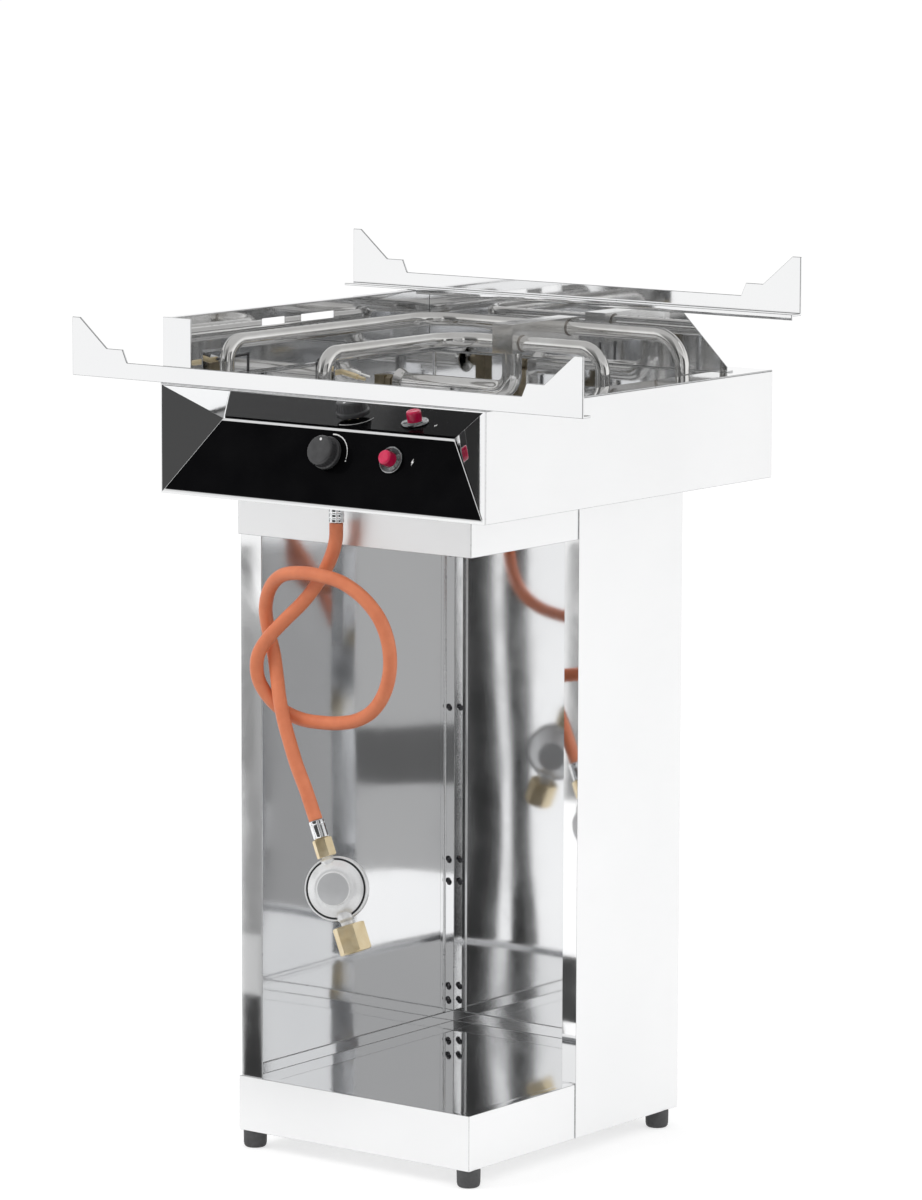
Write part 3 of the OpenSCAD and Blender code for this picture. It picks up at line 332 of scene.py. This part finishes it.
def turned(name, node, profile, matrix, turns=48, radius_at=None, closed=False, angle=38):
    """A turned piece in a node's place; a closed profile goes all the way round a bore."""
    bm = bmesh.new()
    rings = lathe(bm, profile, matrix, turns, radius_at)
    if closed:
        close_loop(bm, rings)
    smooth_by_angle(bm, angle)
    return stand_in(name, bm, node)


def hex_radius(corner, a):
    """The radius of a hexagon in the direction a."""
    return corner * math.cos(math.pi / 6) / math.cos(a % (math.pi / 3) - math.pi / 6)


def arc_point(r, a):
    """The point at a radius and an angle."""
    return r * math.cos(a), r * math.sin(a)


def sweep(bm, path, radius, sides):
    """A closed tube along a path of Vectors in metres; its section doesn't twist."""
    rings, side = [], None
    for i, p in enumerate(path):
        ahead = (path[min(i + 1, len(path) - 1)] - path[max(i - 1, 0)]).normalized()
        if side is None:
            side = ahead.orthogonal().normalized()
        side = (side - ahead * side.dot(ahead)).normalized()
        other = ahead.cross(side)
        turn = [TAU * k / sides for k in range(sides)]
        ring = [p + side * (math.cos(a) * radius) + other * (math.sin(a) * radius) for a in turn]
        rings.append([bm.verts.new(place) for place in ring])
    for lower, upper in zip(rings, rings[1:]):
        for k in range(sides):
            m = (k + 1) % sides
            bm.faces.new((lower[k], lower[m], upper[m], upper[k]))
    bm.faces.new(list(reversed(rings[0])))
    bm.faces.new(rings[-1])


# Hose: its route in mm, y from the panel's foot and z from the head's underside
ROUTE = [
    (-9, 40, -20), (-10, 40, -40), (-19, 41, -62), (-35, 42, -86), (-54, 40, -109), (-75, 33, -131),
    (-93, 26, -152), (-104, 23, -172), (-105, 25, -195), (-96, 31, -215), (-80, 37, -230),
    (-58, 42, -238), (-33, 43, -239), (-7, 42, -237), (19, 40, -231), (43, 37, -218),
    (61, 34, -197), (71, 31, -170), (71, 28, -141), (61, 25, -115), (41, 22, -94), (14, 20, -80),
    (-16, 19, -75), (-45, 20, -75), (-72, 24, -81), (-93, 31, -97), (-105, 38, -120), (-106, 44, -146),
    (-97, 42, -170), (-87, 35, -193), (-76, 26, -215), (-65, 20, -238), (-54, 17, -261),
    (-43, 15, -284), (-31, 15, -308), (-17, 15, -340),
]
HOSE_R = 7.5


def smooth_path(points, steps=8):
    """Catmull-Rom through the points, with even steps between them."""
    pts = [points[0] * 2 - points[1], *points, points[-1] * 2 - points[-2]]
    out = []
    for a, b, c, d in zip(pts, pts[1:], pts[2:], pts[3:]):
        for i in range(steps):
            t = i / steps
            out.append(0.5 * (2 * b + (c - a) * t + (2 * a - 5 * b + 4 * c - d) * t * t
                              + (3 * b - a - 3 * c + d) * t ** 3))
    out.append(points[-1])
    return out


route = [Vector((x, FRONT_Y + y, HEAD_BOTTOM_Z + z)) * MM for x, y, z in ROUTE]
hose_path = smooth_path(route)
bm = bmesh.new()
sweep(bm, hose_path, HOSE_R * MM, 28)
smooth_by_angle(bm, 50)
hose = stand_in("hose_tube", bm, "gas_hose")

# Fittings and regulator at the hose's end, each at a distance in mm along their axis
REGULATOR_LEAN = math.radians(-22)
REGULATOR_TURN = math.radians(25)
HOSE_NUT_AT, DISC_AT, CYLINDER_NUT_AT = 21, 77, 118


def on_regulator(distance=0.0):
    """Matrix of a point beyond the hose's end: Z runs along the fittings' axis."""
    turn = Matrix.Rotation(REGULATOR_LEAN, 4, "Y") @ Matrix.Rotation(REGULATOR_TURN, 4, "Z")
    along = Matrix.Rotation(math.pi, 4, "X") @ Matrix.Translation((0, 0, distance * MM))
    return Matrix.Translation(route[-1]) @ turn @ along


END_SLEEVE = [
    (6.4, 0.2), (7.6, 0.2), (8.4, 0.9), (8.45, 4.2), (8.2, 4.8), (8.2, 5.6), (8.45, 6.2), (8.45, 18.6),
    (8.2, 20), (7.2, 20.8), (5.0, 20.9),
]
INLET_SLEEVE = [
    (6.05, 10), (6.05, 0.2), (7.4, 0.2), (8.4, 1.2), (8.4, 4), (7.9, 4.8), (7.9, 6), (8.4, 6.8),
    (8.4, 9.5), (7.9, 10.3), (7.9, 11.5), (8.4, 12.3), (8.4, 18.3), (6.1, 18.4), (6.1, 12),
]
end_ferrule = turned("hose_sleeve", "hose_end_ferrule", rounded(END_SLEEVE, 0.35, 3), on_regulator(), 40,
                     closed=True)
turned("inlet_sleeve", "hose_top_ferrule", rounded(INLET_SLEEVE, 0.35, 3), Matrix.Translation(route[0]), 40,
       closed=True)

CHAMFER = 1.6
CHAMFER_START, CHAMFER_SLOPE = 0.9, 1.75  # the cone's radius at a nut's end, by its corner's, and its growth


def brass_nut(name, node, at, corner, length, bore):
    """A hexagonal nut: turned chamfers at both ends, flats between, and a bore."""
    def radius_at(r, z, a):
        if r <= bore + 0.01:
            return r
        cone = CHAMFER_START * corner + min(z, length - z) * CHAMFER_SLOPE
        return min(hex_radius(corner, a), cone, r)

    steps = [0, 0.35 * CHAMFER, 0.7 * CHAMFER, CHAMFER]
    levels = steps + [length - step for step in reversed(steps)]
    profile = [(bore, length), (bore, 0)] + [(corner, z) for z in levels]
    return turned(name, node, profile, on_regulator(at), 72, radius_at, closed=True, angle=16)


hose_nut = brass_nut("hose_coupling", "hose_nut", HOSE_NUT_AT, 11, 20, 6.02)
union_nut = brass_nut("cylinder_nut", "union_nut", CYLINDER_NUT_AT, 18, 30, 11.0)

# the regulator's disc stands across the stems' axis
disc = on_regulator(DISC_AT) @ Matrix.Rotation(-math.pi / 2, 4, "X")
back = [(0, -20), (17.4, -20), (30.9, -5.6), (31.6, -5), (35, -5), (35, -0.2), (0, -0.2)]
upper_stem = [(0, 31.2), (6, 31.2), (6, 42.5), (8.6, 45.5), (8.6, 52), (0, 52)]
lower_stem = [(0, 103), (9.4, 103), (9.4, 110.5), (7, 114), (7, 126), (9.9, 126), (9.9, 129), (0, 129)]
bm = bmesh.new()
lathe(bm, rounded(back, 1.2), disc, 96)
lathe(bm, rounded(upper_stem, 0.8), on_regulator())
lathe(bm, rounded(lower_stem, 0.8), on_regulator())
smooth_by_angle(bm, 40)
housing = stand_in("regulator_housing", bm, "regulator_body")

dome = [(30.4 - 11.0 * k / 6, 5.6 + 8.0 * math.sin(math.pi / 2 * k / 6) ** 1.25) for k in range(7)]
rim = [(34.2, 0), (35, 0.8), (35, 3.4), (34.2, 4.6), (32.7, 4.7), (32.1, 3.7), (31.3, 3.7), (30.9, 5.2)]
step = [(18.6, 13.9), (18.1, 14.3), (18.1, 16.1), (17.4, 16.5)]
cover = turned("regulator_cover", "regulator_cap",
               [(0, 0)] + rounded([*rim, *dome, *step], 0.35, 3) + [(0, 16.5)], disc, 96, angle=30)

# a bare plate in the cover's middle, and painted shade in the groove near its rim, whose faces take a dark
# metal
PLATE_R, PLATE_Z = 0.0166, 0.0164
SHADED_GROOVE_IN, SHADED_GROOVE_OUT, SHADED_GROOVE_Z = 0.0309, 0.0331, 0.003
cover.data.materials.append(BLANK_PLATE)
cover.data.materials.append(MATERIALS["dark_metal"])
to_disc = disc.inverted()
for f in cover.data.polygons:
    at = to_disc @ f.center
    away = math.hypot(at.x, at.y)
    if at.z > PLATE_Z and away < PLATE_R:
        f.material_index = 1
    # painted shade: the groove's faces are coloured dark
    if at.z > SHADED_GROOVE_Z and SHADED_GROOVE_IN < away < SHADED_GROOVE_OUT:
        f.material_index = 2

seal_ring = [(3.6, 129.1), (9.8, 129.1), (9.8, 131.2), (3.6, 131.2)]
seal = turned("nut_seal", "union_seal", rounded(seal_ring, 0.4, 3), on_regulator(), 40, closed=True)


# Knob and igniter on the sloping panel
def on_panel(u, v):
    """Matrix of a point on the sloping panel, in mm: X across, Y up the slope, Z out of it."""
    s, c = math.sin(PANEL_LEAN), math.cos(PANEL_LEAN)
    y, z = FRONT_Y + v * s, PANEL_Z + v * c
    return Matrix(((1, 0, 0, u * MM), (0, s, -c, y * MM), (0, c, s, z * MM), (0, 0, 0, 1)))


KNOB, IGNITER = on_panel(0, KNOB_V), on_panel(IGNITER_U, KNOB_V)
FLUTES, FLUTE_DEPTH = 28, 0.3
MARK_UP = 11.5  # from the knob's middle
BUTTON_R = 8.0


def grip(r, z, a):
    """Shallow flutes round the knob's side."""
    if 16.3 < r < 17.3 and 11.5 < z < 21:
        return r - FLUTE_DEPTH * (0.5 + 0.5 * math.cos(FLUTES * a))
    return r


bore = [(0, 19.8), (4, 19.8), (4, 5.8)]
skirt = [(5, 5.8), (18, 5.8), (18, 10.2), (16.9, 11.2)]
side = [(16.7, 14), (16.6, 17), (16.4, 20.2), (15.2, 22.3), (11, 22.7)]
turned("control_knob", "valve_knob", bore + rounded(skirt + side, 0.9, 5) + [(5, 22.8), (0, 22.8)],
       KNOB, 168, grip, angle=50)
mark = [(0, 22.2), (1.6, 22.2), (1.6, 22.9), (0.9, 23.15), (0, 23.2)]
turned("knob_mark", "knob_dot", rounded(mark, 0.3, 3), on_panel(0, KNOB_V + MARK_UP), 32)

# the ring round the button has fine ridges on its face
ridges = [(BUTTON_R + 0.4 + 0.32 * k, 4.6 + 0.4 * (k % 2) - 0.05 * k) for k in range(15)]
outside = rounded([(14.6, 1.55), (15, 2), (15, 2.9), (14.5, 4.2), (13.6, 4.6), (13.2, 4.3)], 0.4)
inside_r = BUTTON_R + 0.1
ring = turned("igniter_ring", "igniter_bezel",
              [(inside_r, 1.55), *outside, *reversed(ridges), (inside_r, 4.6)],
              IGNITER, 96, closed=True, angle=60)
# the ring takes the darker metal, painted reflection darkness
ring.data.materials[0] = DARKENED_SPUN_RING
button = rounded([(BUTTON_R - 0.4, -12), (BUTTON_R, -11.6), (BUTTON_R, 14.6), (BUTTON_R - 0.7, 15.9),
                  (BUTTON_R - 2.2, 16.5), (BUTTON_R - 4.5, 16.2)], 0.7, 5)
turned("igniter_cap", "igniter_button", [(0, -12)] + button + [(0, 16.0)], IGNITER, 64, angle=50)

# Print on the panel: the knob's scale, a dot at its end and a spark beside the igniter
PANEL_FACE, PRINT_THICK = 1.52, 0.06
SCALE_R, DOT_R = 22.4, 0.8
SPARK_BESIDE = 27.5


def flat_print(bm, matrix, outline):
    """A thin raised print on the panel from an outline in mm."""
    low, top = [], []
    for row, z in ((low, PANEL_FACE), (top, PANEL_FACE + PRINT_THICK)):
        for x, y in outline:
            row.append(bm.verts.new(matrix @ Vector((x * MM, y * MM, z * MM))))
    bm.faces.new(top)
    for k in range(len(outline)):
        m = (k + 1) % len(outline)
        bm.faces.new((low[k], low[m], top[m], top[k]))


bm = bmesh.new()
# the scale's angle and half its width, from its broad start to its narrow end
scale = [(math.radians(96 - 104 * k / 40), 0.75 - 0.45 * k / 40) for k in range(41)]
flat_print(bm, KNOB, [arc_point(SCALE_R + w, a) for a, w in scale]
           + [arc_point(SCALE_R - w, a) for a, w in reversed(scale)])
flat_print(bm, on_panel(22.2, KNOB_V - 5.4), [arc_point(DOT_R, TAU * k / 20) for k in range(20)])
flat_print(bm, on_panel(IGNITER_U + SPARK_BESIDE, KNOB_V),
           [(0.9, 4.0), (-1.9, -0.5), (-0.3, -0.3), (-0.9, -4.0), (1.9, 0.9), (0.4, 0.6)])
bmesh.ops.recalc_face_normals(bm, faces=bm.faces)
add_piece("panel_print", bm, "white_print", body_of("control_panel"))

# Springs behind the panel
COIL_STEPS = 26
CLOSED_COILS = 0.8  # the flat part at each end of a spring


def coil_spring(name, node, place, mean_r, wire, coils):
    """A compression spring with closed ends in the space of its CAD node."""
    to_local = place.inverted()
    heights = [(to_local @ p.co).z / MM for p in NODES[node].data.vertices]
    low, high = min(heights) + wire / 2, max(heights) - wire / 2
    steps = COIL_STEPS * coils
    path = []
    for k in range(steps + 1):
        done = k / steps
        ease = min(max((done * coils - CLOSED_COILS) / (coils - 2 * CLOSED_COILS), 0), 1)
        x, y = arc_point(mean_r, TAU * coils * done)
        path.append(place @ Vector((x * MM, y * MM, (low + (high - low) * ease) * MM)))
    bm = bmesh.new()
    sweep(bm, path, wire / 2 * MM, 10)
    smooth_by_angle(bm, 60)
    stand_in(name, bm, node)


coil_spring("spindle_coil", "spindle_spring", KNOB, 5.2, 0.7, 5)
coil_spring("igniter_coil", "igniter_spring", IGNITER, 4.6, 0.8, 9)

# Rubber feet
FOOT = [(4.05, 20), (4.05, 0.6), (5.2, 0), (8.6, 0), (10.6, 0.5), (12, 1.8), (12.45, 3.6), (12.5, 4.4),
        (12.75, 4.7), (13, 18.6), (12.6, 20)]
for corner in ("front_left", "front_right", "rear_left", "rear_right"):
    low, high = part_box("foot_" + corner)
    place = Matrix.Translation(((low.x + high.x) / 2, (low.y + high.y) / 2, 0))
    turned("rubber_foot_" + corner, "foot_" + corner, rounded(FOOT, 0.5), place, 56, closed=True, angle=50)

# Screws
MERGE_DISTANCE = 1e-5  # corners of a CAD mesh that are nearer than this are one corner
SOCKET_R = 1.45


def loose_boxes(node):
    """The box of each separate solid of a node."""
    bm = bmesh.new()
    bm.from_mesh(NODES[node].data)
    bmesh.ops.remove_doubles(bm, verts=bm.verts, dist=MERGE_DISTANCE)
    left, boxes = set(bm.verts), []
    while left:
        todo, found = [left.pop()], []
        while todo:
            v = todo.pop()
            found.append(v.co.copy())
            near = {e.other_vert(v) for e in v.link_edges} & left
            left -= near
            todo += near
        boxes.append([Vector([pick(p[i] for p in found) for i in range(3)]) for pick in (min, max)])
    bm.free()
    return boxes


def socket(r, z, a):
    """Makes the ring at the socket's wall a hexagon."""
    return hex_radius(SOCKET_R, a) if 1.3 < r < 1.6 else r


def screw_heads(name, node, facing):
    """Domed heads with a hexagonal socket on each solid of a node; facing gives the way they look."""
    bm = bmesh.new()
    dome = rounded([(3.2, 0.7), (2.8, 1.5), (2.0, 1.95)], 0.4, 3)
    profile = [(3.2, 0)] + dome + [(1.5, 2.0), (SOCKET_R, 0.9), (0, 0.8)]
    for low, high in loose_boxes(node):
        middle, size = (low + high) / 2, high - low
        thin = min(range(3), key=lambda i: size[i])
        out = facing(middle, thin)
        turn = out.to_track_quat("Z", "Y").to_matrix().to_4x4()
        lathe(bm, profile, Matrix.Translation(middle - out * size[thin] / 2) @ turn, 36, socket)
    smooth_by_angle(bm, 40)
    stand_in(name, bm, node)


def into_cabinet(middle, thin):
    return Vector((0, -1, 0)) if thin == 1 else Vector((1 if middle.x < 0 else -1, 0, 0))


def upward(middle, thin):
    return Vector((0, 0, 1))


screw_heads("post_screw_heads", "post_screws", into_cabinet)
screw_heads("guard_screw_heads", "guard_screws", upward)

# Weld beads where the burner tubes meet the bar; the ring's radius in mm, the rest in metres
TUBE_R = 0.008
BEAD_RING_R = 8.25
BEAD_OFF_BAR = 0.0003
BEAD_STEPS, BEAD_SIDES = 72, 10
bar_low, bar_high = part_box("burner_manifold")
tube_axis = {}
for loop in ("outer", "inner"):
    low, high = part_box(loop + "_tube_right")
    tube_axis[loop] = ((low.y + high.y) / 2, high.z - TUBE_R)


def bead_ring(bm, hub, shift):
    """A lumpy ring of weld round the hub's Z axis."""
    rows = []
    for k in range(BEAD_STEPS):
        a = TAU * k / BEAD_STEPS
        bead = 1.0 + 0.16 * math.sin(a * 24) + 0.08 * math.sin(a * 7 + shift)
        row = []
        for j in range(BEAD_SIDES):
            out, up = arc_point(bead, TAU * j / BEAD_SIDES)
            x, y = arc_point(BEAD_RING_R + out, a)
            row.append(bm.verts.new(hub @ Vector((x * MM, y * MM, up * MM))))
        rows.append(row)
    for row, after in zip(rows, rows[1:] + rows[:1]):
        for j in range(BEAD_SIDES):
            m = (j + 1) % BEAD_SIDES
            bm.faces.new((row[j], row[m], after[m], after[j]))


bm = bmesh.new()
for y, z in tube_axis.values():
    for x, way in ((bar_low.x, -1), (bar_high.x, 1)):
        hub = Matrix.Translation((x + way * BEAD_OFF_BAR, y, z)) @ Matrix.Rotation(math.pi / 2, 4, "Y")
        bead_ring(bm, hub, x * 900)  # any shift that differs from end to end
smooth_by_angle(bm, 80)
beads = add_piece("weld_beads", bm, "burner_steel", body_of("burner_manifold"))
beads.data.materials[0] = WELD

# Flame ports along the top of the burner tubes, as thin dark discs on the tubes that paint the holes' shade;
# a port's profile in mm, the rest in metres
PORT = [(0, 0.02), (0.75, 0.02), (0.95, 0.1), (1.15, 0.0)]
PORT_STEP = 0.013
BAR_CLEAR, BEND_CLEAR, FRONT_CLEAR = 0.014, 0.05, 0.055  # lengths without ports


def port_row(bm, start, end):
    """Ports at even steps between two points."""
    run = end - start
    count = int(run.length / PORT_STEP)
    for k in range(count + 1):
        lathe(bm, PORT, Matrix.Translation(start + run * ((k + 0.5) / (count + 1))), 14)


bm = bmesh.new()
for loop, (y, z) in tube_axis.items():
    left_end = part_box(loop + "_tube_left")[0]
    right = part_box(loop + "_tube_right")[1].x
    x, top = left_end.x + TUBE_R, z + TUBE_R
    port_row(bm, Vector((bar_low.x - BAR_CLEAR, y, top)), Vector((x + BEND_CLEAR, y, top)))
    port_row(bm, Vector((x, y - BEND_CLEAR, top)), Vector((x, left_end.y + FRONT_CLEAR, top)))
    port_row(bm, Vector((bar_high.x + BAR_CLEAR, y, top)), Vector((right - BEND_CLEAR, y, top)))
bmesh.ops.recalc_face_normals(bm, faces=bm.faces)
# the discs take dark metal: painted shade where the holes would be
add_piece("flame_port_shade_discs", bm, "dark_metal", body_of("outer_tube_left"))

# All other nodes: copies with softened edges, whose width is in mm
EDGE_WIDTH = {
    "base_tray": 0.5, "top_frame": 0.5, "left_side_panel": 0.5, "rear_panel": 0.5, "right_rear_panel": 0.5,
    "rear_left_post": 0.5, "rear_right_post": 0.5, "head_shell": 0.5, "head_floor": 0.4,
    "front_fascia": 0.6, "control_panel": 0.4, "top_rim": 0.6, "well_tray": 0.5, "left_wind_guard": 0.3,
    "rear_wind_guard": 0.5, "front_pan_rail": 0.6, "rear_pan_rail": 0.6, "burner_manifold": 1.0,
}
OTHER_EDGE_WIDTH = 0.25
FLAT_ANGLE, EDGE_ANGLE = math.radians(0.5), math.radians(32)
# sheets with slots and notches, cut into triangles before their edges are softened
HOLED = {"left_wind_guard", "base_tray", "gas_feed_pipe"}
# sheets whose outer skin is brushed while the inside is a mirror
BRUSHED = {"base_tray", "top_frame", "head_shell", "right_rear_panel"}
DULLED = {"gas_injector", "injector_block"}
SKIN_DEPTH = 1e-4


def dressed(node):
    """A copy of a CAD node with softened edges."""
    bm = bmesh.new()
    bm.from_mesh(NODES[node].data)
    bmesh.ops.remove_doubles(bm, verts=bm.verts, dist=MERGE_DISTANCE)
    bmesh.ops.dissolve_limit(bm, angle_limit=FLAT_ANGLE, verts=bm.verts, edges=bm.edges)
    if node in HOLED:
        bmesh.ops.triangulate(bm, faces=[f for f in bm.faces if len(f.verts) > 4])
    for f in bm.faces:
        f.smooth = True
    piece = stand_in(node + ".made", bm, node)
    soft = piece.modifiers.new("edges", "BEVEL")
    soft.width = EDGE_WIDTH.get(node, OTHER_EDGE_WIDTH) * MM
    soft.segments = 2
    soft.limit_method = "ANGLE"
    soft.angle_limit = EDGE_ANGLE
    soft.use_clamp_overlap = True
    soft.miter_outer = "MITER_ARC"
    # the softened edges of steel sheets take the darker steel, painted shade along each edge
    if SLOT_OF[node] == "stainless":
        piece.data.materials.append(PAINTED_EDGE_SHADE)
        soft.material = 1
    even = piece.modifiers.new("normals", "WEIGHTED_NORMAL")
    even.weight = 80
    even.keep_sharp = True
    return piece


def brush_skin(piece, node):
    """Gives the faces on the outside of a sheet the brushed material."""
    piece.data.materials.append(SATIN)
    low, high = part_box(node)
    for f in piece.data.polygons:
        at = f.center
        depths = [abs(at.x - high.x)]
        if node != "right_rear_panel":
            depths += [abs(at.x - low.x), abs(at.y - low.y), abs(at.y - high.y)]
        if min(depths) < SKIN_DEPTH:
            f.material_index = 2


for node in sorted(set(NODES) - replaced_nodes):
    piece = dressed(node)
    if node in DULLED:
        piece.data.materials[0] = DULL_BRASS
    if node in BRUSHED:
        brush_skin(piece, node)


# Floor: a grey sheet that the camera and mirrors see brighter, with the part's shadow on it
FLOOR_HALF = 60
FLOOR_GREY, FLOOR_GLOW = 0.5, 0.6


def seen_by_eye(tree):
    """1 for camera, glossy and transmission rays."""
    path = tree.nodes.new("ShaderNodeLightPath")
    total = path.outputs["Is Camera Ray"]
    for key in ("Is Glossy Ray", "Is Transmission Ray"):
        either = tree.nodes.new("ShaderNodeMath")
        either.operation = "MAXIMUM"
        tree.links.new(total, either.inputs[0])
        tree.links.new(path.outputs[key], either.inputs[1])
        total = either.outputs[0]
    return total


def floor_material():
    mat = bpy.data.materials.new("floor")
    mat.use_nodes = True
    tree = mat.node_tree
    tree.nodes.clear()
    out = tree.nodes.new("ShaderNodeOutputMaterial")
    diffuse = tree.nodes.new("ShaderNodeBsdfDiffuse")
    diffuse.inputs["Color"].default_value = (FLOOR_GREY, FLOOR_GREY, FLOOR_GREY, 1)
    glow = tree.nodes.new("ShaderNodeEmission")
    glow.inputs["Color"].default_value = (1, 1, 1, 1)
    lift = tree.nodes.new("ShaderNodeMath")
    lift.operation = "MULTIPLY"
    lift.inputs[1].default_value = FLOOR_GLOW
    tree.links.new(seen_by_eye(tree), lift.inputs[0])
    tree.links.new(lift.outputs[0], glow.inputs["Strength"])
    both = tree.nodes.new("ShaderNodeAddShader")
    tree.links.new(diffuse.outputs[0], both.inputs[0])
    tree.links.new(glow.outputs[0], both.inputs[1])
    tree.links.new(both.outputs[0], out.inputs["Surface"])
    return mat


floor_mesh = bpy.data.meshes.new("floor")
bm = bmesh.new()
bmesh.ops.create_grid(bm, x_segments=1, y_segments=1, size=FLOOR_HALF)
bm.to_mesh(floor_mesh)
bm.free()
floor_mesh.materials.append(floor_material())
floor = bpy.data.objects.new("floor", floor_mesh)
scene.collection.objects.link(floor)

# World: an even light, which the camera and metal see as white walls under a darker ceiling
EVEN_LIGHT = 0.85
WALL_LEVEL, CEILING_LEVEL = 1.0, 0.55
WALL_TOP, CEILING_EDGE = 0.22, 0.6  # heights on a sphere of radius 1
world = bpy.data.worlds.new("studio")
scene.world = world
world.use_nodes = True
tree = world.node_tree
sky = tree.nodes["Background"]
sky.inputs["Color"].default_value = (1, 1, 1, 1)
place = tree.nodes.new("ShaderNodeTexCoord")
split = tree.nodes.new("ShaderNodeSeparateXYZ")
tree.links.new(place.outputs["Generated"], split.inputs["Vector"])
mirrored = spread(tree, split.outputs["Z"], WALL_LEVEL, CEILING_LEVEL, WALL_TOP, CEILING_EDGE)
level = tree.nodes.new("ShaderNodeMix")
level.inputs[2].default_value = EVEN_LIGHT
tree.links.new(seen_by_eye(tree), level.inputs[0])
tree.links.new(mirrored, level.inputs[3])
tree.links.new(level.outputs[0], sky.inputs["Strength"])


# Studio flags and cards, which only metal mirrors; places in metres
def flag(name, corners, low, high=None):
    """A card whose glow is even, or goes from low at its foot to high at its top."""
    mesh = bpy.data.meshes.new(name)
    mesh.from_pydata(corners, [], [list(range(len(corners)))])
    obj = bpy.data.objects.new(name, mesh)
    scene.collection.objects.link(obj)
    obj.visible_camera = obj.visible_diffuse = obj.visible_shadow = obj.visible_transmission = False
    mat = bpy.data.materials.new(name)
    mat.use_nodes = True
    tree = mat.node_tree
    tree.nodes.clear()
    glow = tree.nodes.new("ShaderNodeEmission")
    out = tree.nodes.new("ShaderNodeOutputMaterial")
    glow.inputs["Strength"].default_value = low
    if high is not None:
        place = tree.nodes.new("ShaderNodeTexCoord")
        split = tree.nodes.new("ShaderNodeSeparateXYZ")
        tree.links.new(place.outputs["Object"], split.inputs["Vector"])
        z = [c[2] for c in corners]
        tree.links.new(spread(tree, split.outputs["Z"], low, high, min(z), max(z)), glow.inputs["Strength"])
    tree.links.new(glow.outputs[0], out.inputs["Surface"])
    mesh.materials.append(mat)


# from the cabinet's inner corner towards the opening, and across to the camera's left
CORNER = Vector((-0.157, 0.182, 0))
AHEAD, ASIDE = Vector((0.6064, -0.7951, 0)), Vector((-0.7951, -0.6064, 0))
UP = Vector((0, 0, 1))
ON_FLOOR = 0.0008
FLAG_TOP = 1.4
NEAR, FAR = 1.3, 1.5


def upright(name, ahead, aside, height, *glow):
    """A standing flag ahead of the corner; aside and height are its ends."""
    foot = [CORNER + AHEAD * ahead + ASIDE * a for a in aside]
    low, high = (UP * z for z in height)
    flag(name, [foot[0] + low, foot[1] + low, foot[1] + high, foot[0] + high], *glow)


def lying(name, ahead, aside, glow):
    """A card on the floor ahead of the corner."""
    base = CORNER + UP * ON_FLOOR
    ends = ((0, 0), (1, 0), (1, 1), (0, 1))
    flag(name, [base + AHEAD * ahead[i] + ASIDE * aside[j] for i, j in ends], glow)


def mirrored_from_floor(name, across, y, height, glow):
    """A card on the floor that the camera sees mirrored in a rectangle facing the front."""
    eye = camera.matrix_world.translation
    eye = Vector((eye.x, 2 * y - eye.y, eye.z))
    corners = []
    for i, j in ((0, 0), (1, 0), (1, 1), (0, 1)):
        x, z = across[i], height[j]
        p = eye + (Vector((x, y, z)) - eye) * (eye.z / (eye.z - z))
        corners.append(Vector((p.x, p.y, ON_FLOOR)))
    flag(name, corners, glow)


# what the cabinet's inner walls and the recess mirror
upright("flag_grey", NEAR, (-0.5, 0), (0, FLAG_TOP), 0.5, 0.42)
upright("flag_band", NEAR - 0.01, (-0.5, 0), (0.13, 0.205), 0.13)
STRIP_START = 0.62
STRIPES = (
    (0, 0.014, 0.12), (0.014, 0.04, 0.035), (0.04, 0.056, 0.09), (0.072, 0.09, 0.03), (0.09, 0.106, 0.13),
)
for k, (start, end, glow) in enumerate(STRIPES):
    upright("flag_stripe_%d" % k, NEAR, (start, end), (0, FLAG_TOP), glow)
    lying("strip_%d" % k, (STRIP_START, NEAR), (start, end), glow)
upright("flag_right", NEAR, (-1.5, -0.55), (0, FLAG_TOP), 0.1)
upright("flag_front", FAR, (0.3, 2.4), (0.25, 1.25), 0.075)
upright("flag_front_top", FAR, (0.3, 2.4), (1.25, 3.2), 0.12, 0.5)

# cards for the stand's left return, for the return at the right seam, and beside the left one
RETURN_X, BESIDE_X, SEAM_X = (-0.157, -0.1285), (-0.1285, 0.02), (0.132, 0.164)
RETURN_Y, SEAM_Y = -0.2018, -0.0104
CARDS = (
    ("return_black", RETURN_X, RETURN_Y, (0.079, 0.175), 0.04),
    ("return_white", RETURN_X, RETURN_Y, (0.175, 0.242), 0.6),
    ("return_grey", RETURN_X, RETURN_Y, (0.242, 0.675), 0.28),
    ("seam_black", SEAM_X, SEAM_Y, (0.147, 0.222), 0.06),
    ("seam_grey", SEAM_X, SEAM_Y, (0.4, 0.675), 0.25),
    ("side_patch", BESIDE_X, RETURN_Y, (0.08, 0.6), 0.42),
)
for card in CARDS:
    mirrored_from_floor(*card)

# a black card for the right cheek of the recess
CHEEK_X = -0.8
cheek = ((-0.262, 0.5), (-0.5, 0.5), (-0.5, 0.78), (-0.262, 0.78))
flag("cheek_flag", [Vector((CHEEK_X, y, z)) for y, z in cheek], 0.03)


# Lamps
def soft_box(name, at, aim, size, power):
    """A soft lamp that metal doesn't mirror."""
    lamp = bpy.data.lights.new(name, "AREA")
    lamp.shape = "RECTANGLE"
    lamp.size, lamp.size_y = size
    lamp.energy = power
    obj = bpy.data.objects.new(name, lamp)
    scene.collection.objects.link(obj)
    obj.location = at
    obj.rotation_euler = (Vector(aim) - Vector(at)).to_track_quat("-Z", "Y").to_euler()
    obj.visible_glossy = False


MIDDLE = (0, 0, 0.5)
soft_box("key", (-2.2, -2.6, 3.2), MIDDLE, (2.2, 2.2), 60)
soft_box("fill", (3.0, 1.0, 2.4), MIDDLE, (2.0, 2.0), 25)
